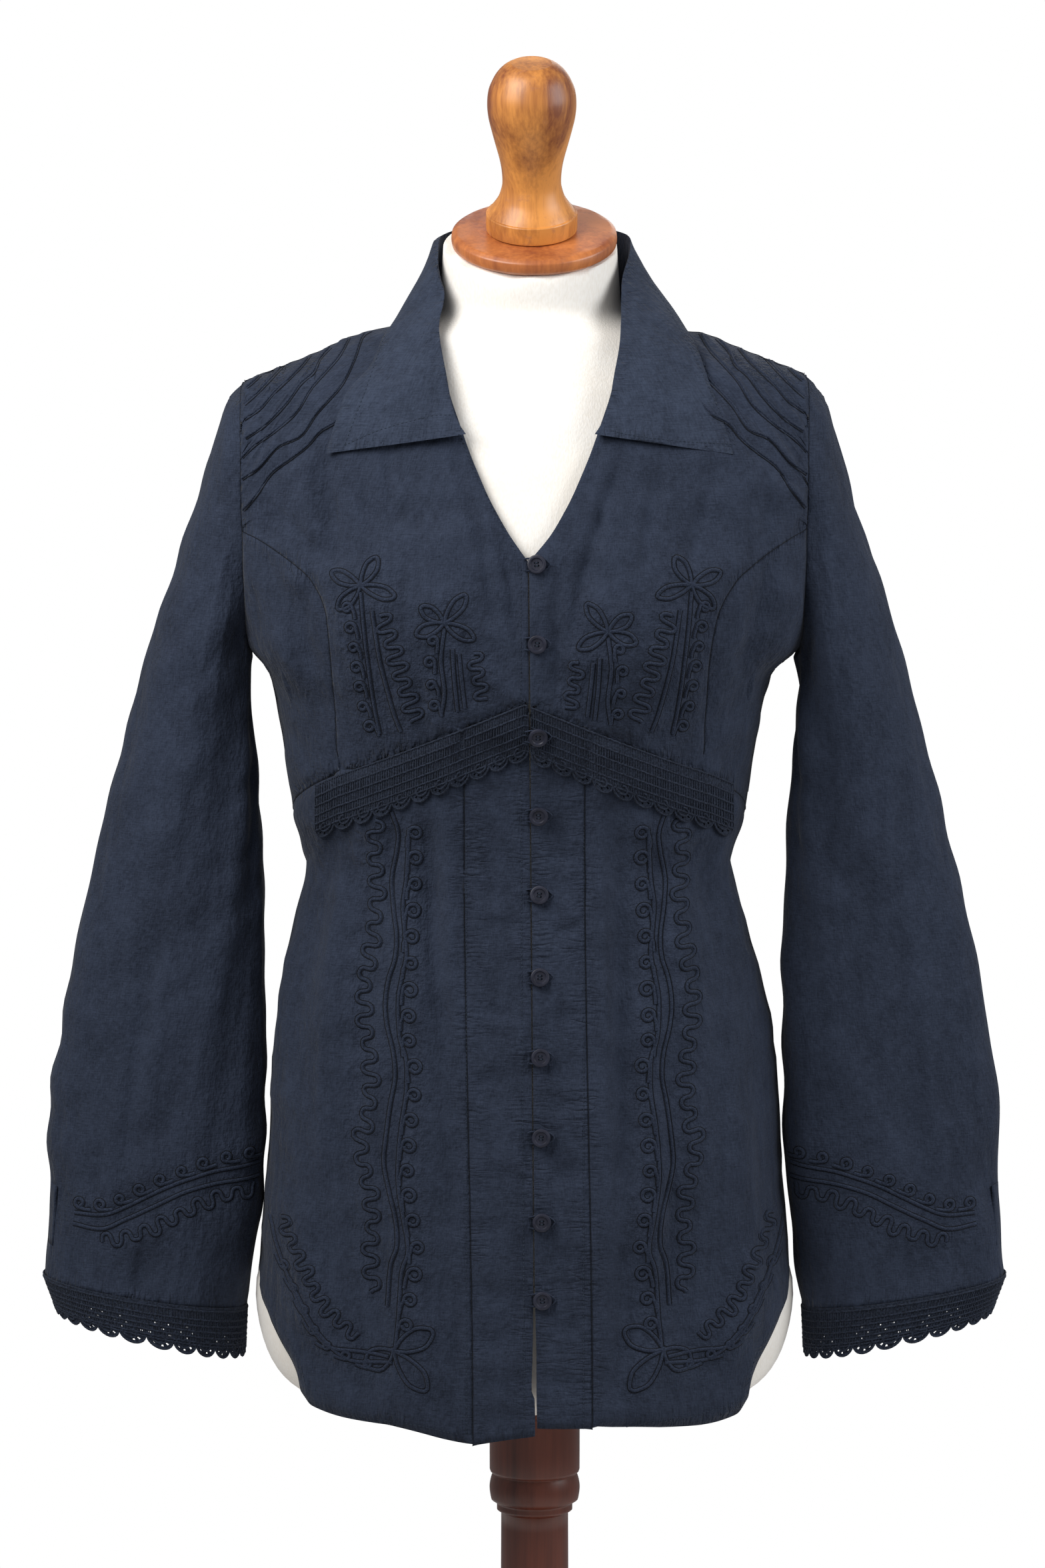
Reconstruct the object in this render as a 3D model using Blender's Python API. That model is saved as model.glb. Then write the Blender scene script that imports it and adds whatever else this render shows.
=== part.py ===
# A navy cotton blouse on a limbless dress form with a turned wooden stand.
# Lengths here are millimetres and turn to metres as each mesh is made.
# The front faces -Y, +Z is up, and the origin is on the floor, under the middle.

import math

import bpy
import numpy as np

MM = 0.001

# Cloth: wall thickness, and how far each piece stops short of a seam
CLOTH = 1.6
SEAM = 0.2
LACE = 1.2
LACE_LIFT = 0.8  # air between the skirt and the lace that lies on it

# The worn cloth's outer surface at each height, as a rounded section
SECTION_POWER = 2.2  # of the sleeves' and armholes' ovals
ROUNDNESS = ((300, 2.2), (940, 2.2), (972, 1.95), (990, 1.72), (1003, 1.74), (1011, 2.0))
# Columns: height, half width, front depth, back depth
TORSO = (
    (300, 164, 119, 121),
    (345, 168, 119, 121),
    (400, 169, 118, 120),
    (440, 165.5, 116, 118),
    (496, 162, 113, 115),
    (560, 158, 109, 109),
    (600, 151, 105, 101),
    (640, 141, 99, 90),
    (660, 135, 96, 84),
    (674, 131.5, 94, 80),
    (688, 137, 95, 79),
    (702, 142, 97, 79),
    (720, 144.5, 99, 80),
    (739, 147, 102, 81),
    (757, 150, 106, 83),
    (774, 153, 110, 85),
    (790, 157, 113, 88),
    (800, 163, 115, 89),
    (805, 173, 115.5, 90),
    (835, 174, 116, 93),
    (860, 175, 114, 95),
    (890, 175.5, 108, 95),
    (920, 176, 99, 93),
    (950, 176.3, 88, 88),
    (974, 176.5, 78, 82),
    (978, 164.5, 76, 80),
    (983, 151, 73.5, 78),
    (987, 141, 72, 77),
    (991, 131, 70, 75),
    (995, 122, 68.5, 73),
    (1000, 112, 67, 71),
    (1003, 103, 66, 70),
    (1006, 90, 65, 68),
    (1009, 76, 63.5, 66),
    (1011, 67, 62, 64.5),
)
BUST = {"out": 76, "height": 838, "depth": 9, "spread": 42, "rise": 48}
SHOULDER_FOOT = 66  # beyond this far out, the bodice's top edge lies on the shoulder line

# Armhole: an upright oval, nearly flat to the side
ARM = {"low": 805, "top": 974, "low_x": 173, "top_x": 176.5, "front": 53, "back": 56}

# Centre front, where the two fronts meet edge to edge
CENTRE = {"top": 870, "top_x": 2.4, "foot": 325, "foot_x": 6.6}
PARTING = {"top": 0.8, "foot": 4.5, "opens_at": 415}
NECK_SHIFT = 3.5  # the neckline, neck and stand lie this far to +X

# Embroidered front bodice: each row runs from the inner edge out and down.
# Columns: place, inner x, inner z, outer x, outer z. The inner x is None on the meeting edge,
# the inner z None on the shoulder line, and the outer x None on the armhole.
BODICE = (
    (0, None, 783, 115, 734),
    (1, None, 805, 113, 760),
    (2, None, 838, 115.5, 800),
    (3, None, 871, 119, 838),
    (4, 13, 887, 130, 859),
    (5, 25, 908, 151, 873),
    (6, 36, 933, 174.6, 886),
    (7, 50, 972, None, 899),
    (7.24, 54.5, 992, None, 901),
    (7.34, 58, 1003, None, 902),
    (7.42, 61.5, 1006.8, None, 903),
    (7.5, 64, 1009, None, 904),
    (7.58, 66, 1010.3, None, 905),
    (7.64, 71, None, None, 905.6),
    (8, 96, None, None, 908),
    (9, 110, None, None, 917),
    (10, 121, None, None, 926),
    (11, 134, None, None, 935),
    (12, 146, None, None, 944),
    (13, 154, None, None, 953),
    (14, 163, None, None, 962),
    (14.7, 173.6, None, None, 970.5),
)
ON_ARMHOLE, ON_SHOULDER = 6, 7.64  # the places from which those ends begin
TUCKS = {"first": 7, "last": 14, "height": 1.5, "end": 0.6, "below": 0.3, "above": 0.24, "bow": 0.05}
BODICE_CUTS = 8
SHOULDER_TURN = {"weight": 120, "length": 30}  # crowds the columns where a row rounds the shoulder

WAIST_SIDE = 704  # the waist seam's height at the side seam
SIDE_RUN = 62  # along the waist seam, from the front bodice's corner to the side seam
SIDE_CUTS = {"across": 5, "up": 7}
BACK_CUTS = 14

# Skirt: the hem as a shirt tail, x and height from the vent at the side to the placket
VENT = 397
PLACKET = 37
PLACKET_RISE = 3.5  # the hem is this much higher at the meeting edge
PLACKET_ROWS = (0, 0.1, 0.2, 0.3, 0.4, 0.49, 0.57, 0.64, 0.7, 0.745, 0.79, 0.83, 0.87, 0.91, 0.955, 1)
HEM = (
    (169, 397), (164, 391.5), (158, 382), (152, 373), (146, 365.5), (142, 357),
    (140, 346), (134, 338), (120, 333), (100, 331.5), (78, 330.5), (58, 328.5), (37, 324),
)
# Back hem: share of the way round from one vent to the other, and height
HEM_BACK = ((0, 397), (0.07, 391), (0.14, 370), (0.21, 345), (0.29, 330), (0.38, 323), (0.5, 320))
SKIRT_ROWS = (0, 0.14, 0.28, 0.42, 0.55, 0.66, 0.75, 0.83, 0.89, 0.945, 1)
BACK_SKIRT_CUTS = 18
FLUTES = {"count": 7, "depth": 1.2, "run": 300}

# Underbust lace band: top line, end and scallops
BAND = {"end_x": 127, "end_z": 727, "height": 33, "scallop": 12.2, "scallop_drop": 4.5}

# Sleeve rings. Columns: outer edge x and z, inner edge x and z as seen from the front,
# reach to the front and to the back, and how far back the ring's middle lies.
SLEEVE = (
    (176.9, 974, 173.4, 805, 53, 56, 0),
    (188, 960, 176.2, 799, 54, 56, 0),
    (198, 925, 177.0, 790, 55, 56, 1),
    (213, 878, 176.4, 775, 54, 55, 2),
    (232, 826, 174.0, 748, 51, 52, 3),
    (247, 772, 171.0, 712, 48, 50, 4),
    (261, 718, 168.5, 676, 46, 48, 4),
    (274, 665, 167.4, 638, 44, 46, 4),
    (285, 620, 167.0, 598, 43, 45, 3),
    (296, 560, 166.6, 545, 42, 44, 2),
    (303.5, 505, 168.6, 494, 41, 43, 1),
    (301, 466, 170.6, 456, 40, 42, 0),
    (302.5, 435, 173.4, 424, 40, 42, 0),
    (306, 406, 176.4, 385, 41, 43, 0),
)
CUFF_FOOT = (304, 378, 180.5, 353, 42, 44, 0)
SLEEVE_ROUND = 20
SLEEVE_FOLDS = ({"angle": 125, "width": 20, "depth": 3.4}, {"angle": 62, "width": 17, "depth": 2.2})
CUFF = {"scallops": 26, "drop": 4.5}
TAB = {"top": 466, "foot": 428, "width": 9, "thick": 1.3}

# Collar stations from centre back to the front end: fold, leaf edge and stand's foot as
# x, y, z each, and how far the leaf bows out.
COLLAR = (
    (0, 62, 1069, 0, 81, 1005, 0, 66, 1013.5, 5),
    (31, 54, 1068.5, 46, 71, 1006, 35, 58, 1013.5, 5),
    (50, 32, 1066.5, 78, 41, 1007.5, 57, 34, 1013.5, 5),
    (57.5, 5, 1063, 92, 4, 1010, 66, 3, 1013.5, 5),
    (58.5, -20, 1047, 97, -21, 1007.5, 66, -20, 1012, 5),
    (57.5, -43, 1023, 101, -40, 1000, 62, -43, 1009.5, 5),
    (56, -62, 1003, 107, -55, 986, 59, -57, 1000, 4.5),
    (52, -78, 985, 113, -64, 969, 54.5, -71, 984, 4),
    (49, -87, 967, 118, -72, 953, 51.5, -80, 966, 3.5),
    (45, -93, 955, 122, -76, 942, 47.5, -86, 954, 3),
    (39.5, -96, 947.5, 124.5, -79, 934, 41.5, -90, 947, 2.5),
)
COLLAR_WALL = 1.5
COLLAR_LIFTS = (1.0, 1.6, 3.4, 4.4, 3.9, 3.9, 3.9, 2.4, 2.4, 2.4, 2.0, 1.0)
COLLAR_STEPS = 15

# Buttons and the cloth loops that hold them
BUTTON_HEIGHTS = (869, 821, 764, 713, 663, 613, 564, 514.5, 462, 413.5)
BUTTON = {"radius": 5.9, "thick": 2.4, "rim": 1.2, "dish": 0.5, "lift": 2.2, "off_edge": 4.6}
LOOP = {"radius": 0.75, "lift": 0.5, "reach": 8.4, "half": 4.6, "root": 3.4}

# Dress form: inside the cloth, with a rounded lower edge, and a neck that leans forward
FORM_AIR = ((900, 3.0), (940, 1.5))  # between form and cloth, by height
FORM_WIDEST = ((700, 200), (790, 161))  # the form's half width is held to this
FORM_HEIGHTS = (
    392, 440, 500, 560, 610, 645, 674, 705, 745, 785, 825, 865, 905, 940, 962,
    974, 981, 988, 995, 1001, 1006, 1009.5,
)
FORM_UNDER = ((327, 0.66), (331, 0.78), (339, 0.88), (357, 0.955))  # height, and share of the lowest ring
FORM_ROUND = 28
NECK = {"radius": 53, "top_radius": 50, "top": 1060, "back": 3, "lean": 17}

# Turned wood, as height and radius from the foot of each piece
PLATE_PROFILE = ((0, 48.5), (2.2, 51.6), (5.3, 52.2), (8.6, 51.6), (10.6, 48.8))
KNOB_PROFILE = (
    (0, 24), (2, 26.8), (5, 28.4), (11.5, 28.4), (14.5, 26.4), (22, 20.8), (34, 18.5),
    (50, 20.2), (69, 24.9), (85, 27.7), (97, 26.6), (106, 22), (111.6, 16.6), (113.6, 12.9),
)
POST_PROFILE = (
    (0, 21.9), (190, 21.3), (227, 21.1), (229, 23.8), (233.5, 23.8), (235.5, 27.4), (243.5, 29),
    (250.5, 27.4), (252.4, 26.4), (254.4, 28.4), (302.4, 28.4),
)
BASE_PROFILE = ((0, 165), (13, 165), (19, 160), (21.5, 120), (23.6, 60), (24, 31))
POST_FOOT = 24.3
STAND_X = 5

COLOURS = {
    "cloth": ((0.017, 0.028, 0.052), 0.85),
    "lace": ((0.020, 0.031, 0.055), 0.8),
    "button": ((0.006, 0.008, 0.018), 0.35),
    "jersey": ((0.70, 0.63, 0.50), 0.9),
    "wood": ((0.42, 0.17, 0.045), 0.45),
    "post_wood": ((0.075, 0.020, 0.012), 0.4),
}


def smooth(xs, ys):
    """A curve through the points that never swings past them."""
    xs, ys = np.array(xs, float), np.array(ys, float)
    step, slope = np.diff(xs), np.diff(ys) / np.diff(xs)
    bend = np.concatenate([[slope[0]], (slope[:-1] + slope[1:]) / 2, [slope[-1]]])
    turns = slope[:-1] * slope[1:] <= 0
    bend[1:-1][turns] = 0
    for i, s in enumerate(slope):
        if s:
            bend[i : i + 2] = np.clip(bend[i : i + 2] / s, -3, 3) * s

    def at(x):
        x = min(max(x, xs[0]), xs[-1])
        i = min(max(int(np.searchsorted(xs, x)) - 1, 0), len(step) - 1)
        u = (x - xs[i]) / step[i]
        low = (1 + 2 * u) * (1 - u) ** 2 * ys[i] + u * (1 - u) ** 2 * step[i] * bend[i]
        return low + u * u * (3 - 2 * u) * ys[i + 1] + u * u * (u - 1) * step[i] * bend[i + 1]

    return at


torso = list(zip(*TORSO))
side_width = smooth(torso[0], torso[1])
DEPTH = {"front": smooth(torso[0], torso[2]), "back": smooth(torso[0], torso[3])}


def power(z):
    """The torso section's power: the shoulders are sharper across than the body."""
    return np.interp(z, *zip(*ROUNDNESS))


def root(value, exponent=SECTION_POWER):
    return max(value, 0.0) ** (1 / exponent)


def arm_x(z):
    return ARM["low_x"] + (ARM["top_x"] - ARM["low_x"]) * (z - ARM["low"]) / (ARM["top"] - ARM["low"])


def arm_reach(z, side):
    """How far the armhole's edge lies before or behind the side line."""
    middle, half = (ARM["top"] + ARM["low"]) / 2, (ARM["top"] - ARM["low"]) / 2
    return ARM[side] * root(1 - abs((z - middle) / half) ** SECTION_POWER)


def half_width(z, side):
    """The section's half width, widened beside the armhole so that its edge lies on the surface."""
    if not ARM["low"] < z < ARM["top"]:
        return side_width(z)
    return arm_x(z) / root(1 - (arm_reach(z, side) / DEPTH[side](z)) ** power(z), power(z))


def bust(x, z, side):
    if side == "back":
        return 0.0
    across, up = (abs(x) - BUST["out"]) / BUST["spread"], (z - BUST["height"]) / BUST["rise"]
    edge = max(0.0, 1 - (abs(x) / half_width(z, side)) ** 6)
    return BUST["depth"] * math.exp(-across * across - up * up) * edge


def surface_y(x, z, side):
    u = min(abs(x) / half_width(z, side), 1.0)
    out = DEPTH[side](z) * root(1 - u ** power(z), power(z)) + bust(x, z, side)
    return -out if side == "front" else out


def fullness(p, side):
    """Below 1 inside the worn surface and above 1 outside it."""
    x, y, z = p
    deep = max(abs(y) - bust(x, z, side), 0.0) / DEPTH[side](z)
    return (abs(x) / half_width(z, side)) ** power(z) + deep ** power(z)


def surface_normal(p, side):
    grad, h = [], 0.08
    for axis in range(3):
        step = np.zeros(3)
        step[axis] = h
        grad.append(fullness(p + step, side) - fullness(p - step, side))
    grad = np.array(grad)
    return grad / np.linalg.norm(grad)


def on_surface(x, z, side="front"):
    return np.array([x, surface_y(x, z, side), z])


def by_angle(turn, z, side, hand=1):
    """The surface point at an angle from the centre line, 90 at the side seam."""
    turn = math.radians(min(turn, 90.0))
    x = half_width(z, side) * math.sin(turn) ** (2 / power(z))
    out = DEPTH[side](z) * max(math.cos(turn), 0.0) ** (2 / power(z)) + bust(x, z, side)
    return np.array([hand * x, -out if side == "front" else out, z])


def angle_of(x, z, side):
    return math.degrees(math.asin(min((abs(x) / half_width(z, side)) ** (power(z) / 2), 1.0)))


def shoulder_height(x):
    """The height at which the shoulder line is this far out."""
    low, high = float(ARM["top"]), float(TORSO[-1][0])
    for _ in range(40):
        middle = (low + high) / 2
        if side_width(middle) > x:
            low = middle
        else:
            high = middle
    return low


def centre_x(z):
    share = (CENTRE["top"] - z) / (CENTRE["top"] - CENTRE["foot"])
    return CENTRE["top_x"] + (CENTRE["foot_x"] - CENTRE["top_x"]) * min(max(share, -0.3), 1.1)


def parting(z):
    share = min(max((PARTING["opens_at"] - z) / (PARTING["opens_at"] - CENTRE["foot"]), 0), 1)
    return PARTING["top"] + (PARTING["foot"] - PARTING["top"]) * share


def edge_x(z, hand):
    """The meeting edge of one front, counted outwards from the middle on its own side."""
    return hand * centre_x(z) + parting(z) / 2


def mesh_object(name, points, faces, finish, smooth_angle=35):
    mesh = bpy.data.meshes.new(name)
    mesh.from_pydata([tuple(MM * float(c) for c in p) for p in points], [], faces)
    mesh.validate()
    solid = bpy.data.objects.new(name, mesh)
    bpy.context.scene.collection.objects.link(solid)
    face_outwards(mesh)
    mesh.shade_smooth()
    mesh.set_sharp_from_angle(angle=math.radians(smooth_angle))
    mesh.materials.append(material(finish))
    return solid


def face_outwards(mesh):
    """Turns the whole shell round if its volume comes out negative."""
    total = 0.0
    mesh.calc_loop_triangles()
    for triangle in mesh.loop_triangles:
        a, b, c = (mesh.vertices[i].co for i in triangle.vertices)
        total += a.dot(b.cross(c))
    if total < 0:
        mesh.flip_normals()


def material(finish):
    found = bpy.data.materials.get(finish)
    if found:
        return found
    made = bpy.data.materials.new(finish)
    made.use_nodes = True
    shader = made.node_tree.nodes["Principled BSDF"]
    colour, rough = COLOURS[finish]
    shader.inputs["Base Color"].default_value = (*colour, 1)
    shader.inputs["Roughness"].default_value = rough
    return made


def wall(name, outer, inner, finish, loop=False):
    """A closed wall between two grids of points, with rims round its edges."""
    outer, inner = np.array(outer), np.array(inner)
    rows, columns = outer.shape[:2]
    behind = rows * columns
    last = columns if loop else columns - 1

    def at(i, j):
        return i * columns + j % columns

    faces = []
    for i in range(rows - 1):
        for j in range(last):
            a, b, c, d = at(i, j), at(i, j + 1), at(i + 1, j + 1), at(i + 1, j)
            faces += [(a, b, c, d), (behind + d, behind + c, behind + b, behind + a)]
    for j in range(last):
        a, b = at(0, j), at(0, j + 1)
        faces.append((b, a, behind + a, behind + b))
        a, b = at(rows - 1, j), at(rows - 1, j + 1)
        faces.append((a, b, behind + b, behind + a))
    if not loop:
        for i in range(rows - 1):
            a, b = at(i, 0), at(i + 1, 0)
            faces.append((a, b, behind + b, behind + a))
            a, b = at(i, columns - 1), at(i + 1, columns - 1)
            faces.append((b, a, behind + a, behind + b))
    return mesh_object(name, np.concatenate([outer.reshape(-1, 3), inner.reshape(-1, 3)]), faces, finish)


def cloth_on_torso(name, grid, side, finish="cloth", lift=0.0, thick=CLOTH, raised=None):
    """A panel on the torso's surface: the wall goes inwards from it, and ridges stand on it.

    A ridge is given as its height at the row's start, along it and at its end.
    """
    outer, inner = [], []
    for i, row in enumerate(grid):
        start, along, end = raised[i] if raised else (0.0, 0.0, 0.0)
        ups = [start] + [along] * (len(row) - 2) + [end]
        normals = [surface_normal(p, side) for p in row]
        outer.append([p + n * (lift + thick * (lift > 0) + up) for p, n, up in zip(row, normals, ups)])
        inner.append([p + n * (lift if lift > 0 else -thick) for p, n in zip(row, normals)])
    return wall(name, outer, inner, finish)


def blend_patch(bottom, top, inner, outer, across, shares):
    """Points between four edge curves, each a function of 0 to 1, in rows at these shares."""
    rows = []
    for r in shares:
        row = []
        for j in range(across + 1):
            s = j / across
            point = (1 - r) * bottom(s) + r * top(s) + (1 - s) * inner(r) + s * outer(r)
            corner = (1 - r) * ((1 - s) * bottom(0) + s * bottom(1))
            row.append(point - corner - r * ((1 - s) * top(0) + s * top(1)))
        rows.append(row)
    return rows


def bodice_ends(hand):
    """Inner and outer end of a bodice row, as smooth curves of its place."""
    inner, outer = [], []
    for _, xi, zi, xo, zo in BODICE:
        if xi is None:
            xi = edge_x(zi, hand)
        elif zi is None:
            zi = shoulder_height(xi)
        else:
            xi += hand * NECK_SHIFT
        inner.append((xi, zi))
        outer.append((arm_x(zo) if xo is None else xo, zo))
    curves = [np.array(side, float).T for side in (inner, outer)]
    places = [row[0] for row in BODICE]

    def ends(place):
        (xi, zi), (xo, zo) = [[np.interp(place, places, c) for c in curve] for curve in curves]
        if place >= ON_SHOULDER:
            zi = shoulder_height(xi)
        if place >= ON_ARMHOLE:
            xo = arm_x(zo)
        return np.array([xi, zi]), np.array([xo, zo])

    return ends


def bodice_rows():
    """The places of the rows, and how far each stands up: a tuck is a foot, a crest and a foot.

    The lowest tuck runs out flat under the collar.
    """
    flat = (0.0, 0.0, 0.0)
    places = [(k, flat) for k in np.arange(0, ON_ARMHOLE + 0.1, 0.5)] + [(ON_ARMHOLE + 0.4, flat)]
    round_neck = [(row[0], flat) for row in BODICE if 7.3 < row[0] <= ON_SHOULDER]
    for tuck in range(TUCKS["first"], TUCKS["last"] + 1):
        start = 0.0 if tuck == TUCKS["first"] else TUCKS["height"]
        places.append((tuck - TUCKS["below"], flat))
        places.append((tuck, (start, TUCKS["height"], TUCKS["end"])))
        places.append((tuck + TUCKS["above"], flat))
        if tuck == TUCKS["first"]:
            places += round_neck
    return places + [(BODICE[-1][0], flat)]


def princess(r, hand):
    """The seam between the front and side front, from the waist up to the armhole."""
    return bodice_ends(hand)(ON_ARMHOLE * r)[1]


def build_front_bodice(name, hand):
    ends = bodice_ends(hand)
    places = bodice_rows()
    grid, raised = [], []
    for place, up in places:
        inner, outer = ends(place)
        length = np.linalg.norm(outer - inner)
        outer = outer - np.array([SEAM, 0.0])
        if place == 0:
            inner = np.array([inner[0], band_line(inner[0]) + SEAM])
            outer = outer + (0, SEAM)
        bow = TUCKS["bow"] * length * min(max(place - 5.5, 0), 1)
        fine = []
        for s in np.linspace(0, 1, 61) ** 3:
            x, z = inner + (outer - inner) * s
            z += bow * 4 * s * (1 - s)
            p = on_surface(hand * x, min(z, shoulder_height(x)) if x > SHOULDER_FOOT else z)
            p[1] = min(p[1], -SEAM)
            fine.append(p)
        grid.append(spaced(fine, BODICE_CUTS, SHOULDER_TURN["weight"] * (place > TUCKS["first"])))
        raised.append(up)
    cloth_on_torso(name, grid, "front", raised=raised)


def spaced(line, cuts, crowd):
    """Points along a line, closer together over its first stretch where it rounds the shoulder."""
    line = np.array(line)
    along = np.concatenate([[0], np.cumsum(np.linalg.norm(np.diff(line, axis=0), axis=1))])
    weight = along + crowd * (1 - np.exp(-along / SHOULDER_TURN["length"]))
    marks = np.linspace(0, weight[-1], cuts + 1)
    return [np.array([np.interp(m, weight, line[:, k]) for k in range(3)]) for m in marks]


def build_side_front(name, hand):
    middle, half = (ARM["top"] + ARM["low"]) / 2, (ARM["top"] - ARM["low"]) / 2
    meet = math.acos((BODICE[ON_ARMHOLE][4] - middle) / half)

    def inner(r):
        x, z = princess(r, hand)
        return np.array([angle_of(x + SEAM, z, "front"), z])

    def top(s):
        z = middle + half * math.cos(meet + (math.pi - meet) * s)
        turn = angle_of(arm_x(z) - SEAM, z, "front")
        return np.array([turn + (90 - turn) * s**8, z])

    def bottom(s):
        start = inner(0)
        return start + (np.array([90.0, WAIST_SIDE]) - start) * s + (0, SEAM)

    def outer(r):
        return np.array([90.0, WAIST_SIDE + SEAM + (ARM["low"] - WAIST_SIDE - 2 * SEAM) * r])

    rows = blend_patch(bottom, top, inner, outer, SIDE_CUTS["across"], np.linspace(0, 1, SIDE_CUTS["up"] + 1))
    grid = [[by_angle(turn, z, "front", hand) for turn, z in row] for row in rows]
    for row in grid:
        for p in row:
            p[1] = min(p[1], -SEAM)
    cloth_on_torso(name, grid, "front")


def build_back_bodice(name):
    heights = [WAIST_SIDE + SEAM, 727, 751, 775, 793, 802, ARM["low"] + 0.5, 808, 815, 828, 850, 885]
    heights += [920, 948, 964, 971.5, ARM["top"] - 0.3, 979, 985, 991, 997, 1002, 1006, 1009]
    grid = []
    for z in heights:
        side = 90.0
        if ARM["low"] < z < ARM["top"]:
            side = angle_of(arm_x(z) - SEAM, z, "back")
        row = []
        for j in range(BACK_CUTS + 1):
            turn = side * (2 * j / BACK_CUTS - 1)
            p = by_angle(abs(turn), z, "back", 1 if turn > 0 else -1)
            p[1] = max(p[1], SEAM)
            row.append(p)
        grid.append(row)
    cloth_on_torso(name, grid, "back")


def flute(p, top):
    """Soft upright waves that grow towards the hem."""
    grow = min(max((top - p[2]) / FLUTES["run"], 0), 1) ** 1.5
    turn = math.atan2(abs(p[1]), abs(p[0]))
    fade = max(0.0, math.sin(turn)) ** 0.5
    return FLUTES["depth"] * grow * fade * (0.5 - 0.5 * math.cos(2 * FLUTES["count"] * turn))


def band_line(x):
    """The height of the waist seam under the lace, which peaks at the centre."""
    _, _, peak, corner_x, corner_z = BODICE[0]
    return peak + (corner_z - peak) * x / corner_x


def skirt_inwards(grid, top, side):
    """Presses the waves of the skirt into its surface, so that it never reaches the sleeves."""
    moved = []
    for row in grid:
        moved.append([p - surface_normal(p, side) * flute(p, top) for p in row])
    return moved


def build_front_skirt(name, hand):
    corner = BODICE[0][3]
    hem = [(angle_of(x, z, "front"), z) for x, z in HEM]
    hem[0] = (90.0, VENT)
    along = np.linspace(0, 1, len(hem))

    def top(s):
        seam = (corner - PLACKET) / (corner - PLACKET + SIDE_RUN)
        if s < seam:
            x = PLACKET + SEAM + (corner - PLACKET - SEAM) * s / seam
            return np.array([angle_of(x, band_line(x), "front"), band_line(x) - SEAM])
        start = np.array([angle_of(corner, band_line(corner), "front"), band_line(corner)])
        end = np.array([90.0, WAIST_SIDE])
        return start + (end - start) * (s - seam) / (1 - seam) - (0, SEAM)

    def bottom(s):
        return np.array([np.interp(1 - s, along, [h[k] for h in hem]) for k in (0, 1)])

    def inner(r):
        z = HEM[-1][1] + (top(0)[1] - HEM[-1][1]) * r
        return np.array([angle_of(PLACKET + SEAM, z, "front"), z])

    def outer(r):
        return np.array([90.0, VENT + (WAIST_SIDE - SEAM - VENT) * r])

    rows = blend_patch(bottom, top, inner, outer, len(HEM) - 1, SKIRT_ROWS)
    grid = [[by_angle(turn, z, "front", hand) for turn, z in row] for row in rows]
    for row in grid:
        for p in row:
            p[1] = min(p[1], -SEAM)
    grid = skirt_inwards(grid, WAIST_SIDE, "front")
    for row in grid:
        for p in row:
            p[1] = min(p[1], -SEAM)
            p[0] = hand * max(abs(p[0]), PLACKET + SEAM)
    cloth_on_torso(name, grid, "front")


def build_back_skirt(name):
    shares, heights = zip(*HEM_BACK)
    grid = []
    for r in SKIRT_ROWS:
        row = []
        for j in range(BACK_SKIRT_CUTS + 1):
            s = j / BACK_SKIRT_CUTS
            hem = np.interp(min(s, 1 - s), shares, heights)
            z = hem + (WAIST_SIDE - SEAM - hem) * r
            turn = 90 * (2 * s - 1)
            p = by_angle(abs(turn), z, "back", 1 if turn > 0 else -1)
            p[1] = max(p[1], SEAM)
            row.append(p)
        grid.append(row)
    grid = skirt_inwards(grid, WAIST_SIDE, "back")
    for row in grid:
        for p in row:
            p[1] = max(p[1], SEAM)
    cloth_on_torso(name, grid, "back")


def build_placket(name, hand):
    foot = HEM[-1][1]
    grid = []
    for r in PLACKET_ROWS:
        row = []
        for j in range(4):
            s = j / 3
            low = foot + PLACKET_RISE * (1 - s)
            start = edge_x(band_line(0), hand)
            high = band_line(start + (PLACKET - SEAM - start) * s) - SEAM
            z = low + (high - low) * r
            start = edge_x(z, hand)
            row.append(on_surface(hand * (start + (PLACKET - SEAM - start) * s), z))
        grid.append(row)
    cloth_on_torso(name, grid, "front")


def build_lace_band(name, hand):
    columns = 2 * round(BAND["end_x"] / BAND["scallop"])
    corner_x, corner_z = BODICE[0][3:]
    top, middle, low = [], [], []
    for j in range(columns + 1):
        s = j / columns
        start = edge_x(band_line(0), hand) + 0.4
        x = start + (BAND["end_x"] - start) * s
        z = band_line(x)
        if x > corner_x:
            z = np.interp(x, (corner_x, BAND["end_x"]), (corner_z, BAND["end_z"]))
        foot = z - BAND["height"] - BAND["scallop_drop"] * (j % 2)
        top.append(on_surface(hand * x, z - SEAM))
        middle.append(on_surface(hand * x, z - BAND["height"] / 2))
        low.append(on_surface(hand * x, foot))
    cloth_on_torso(name, [low, middle, top], "front", "lace", LACE_LIFT, LACE)


def sleeve_at(ring, turn, inset=0.0, hand=1):
    """A point on a sleeve ring: 0 is the outer edge, 90 the front, 180 the inner edge."""
    ox, oz, ix, iz, front, back, middle = ring
    centre, reach = np.array([ox + ix, oz + iz]) / 2, np.array([ox - ix, oz - iz]) / 2
    half = np.linalg.norm(reach)
    c, s = math.cos(math.radians(turn)), math.sin(math.radians(turn))
    along = math.copysign(abs(c) ** (2 / SECTION_POWER), c) * (half - inset)
    deep = math.copysign(abs(s) ** (2 / SECTION_POWER), s) * ((front if s > 0 else back) - inset)
    x, z = centre + reach / half * along
    return np.array([hand * x, middle - deep, z])


def sleeve_fold(row, turn):
    """How far lengthwise folds press the sleeve in, none at its two ends."""
    share = row / (len(SLEEVE) - 1)
    grow = math.sin(math.pi * min(max((share - 0.12) / 0.84, 0), 1)) ** 0.7
    total = 0.0
    for fold in SLEEVE_FOLDS:
        total += fold["depth"] * grow * math.exp(-(((turn - fold["angle"]) / fold["width"]) ** 2))
    return total


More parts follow.
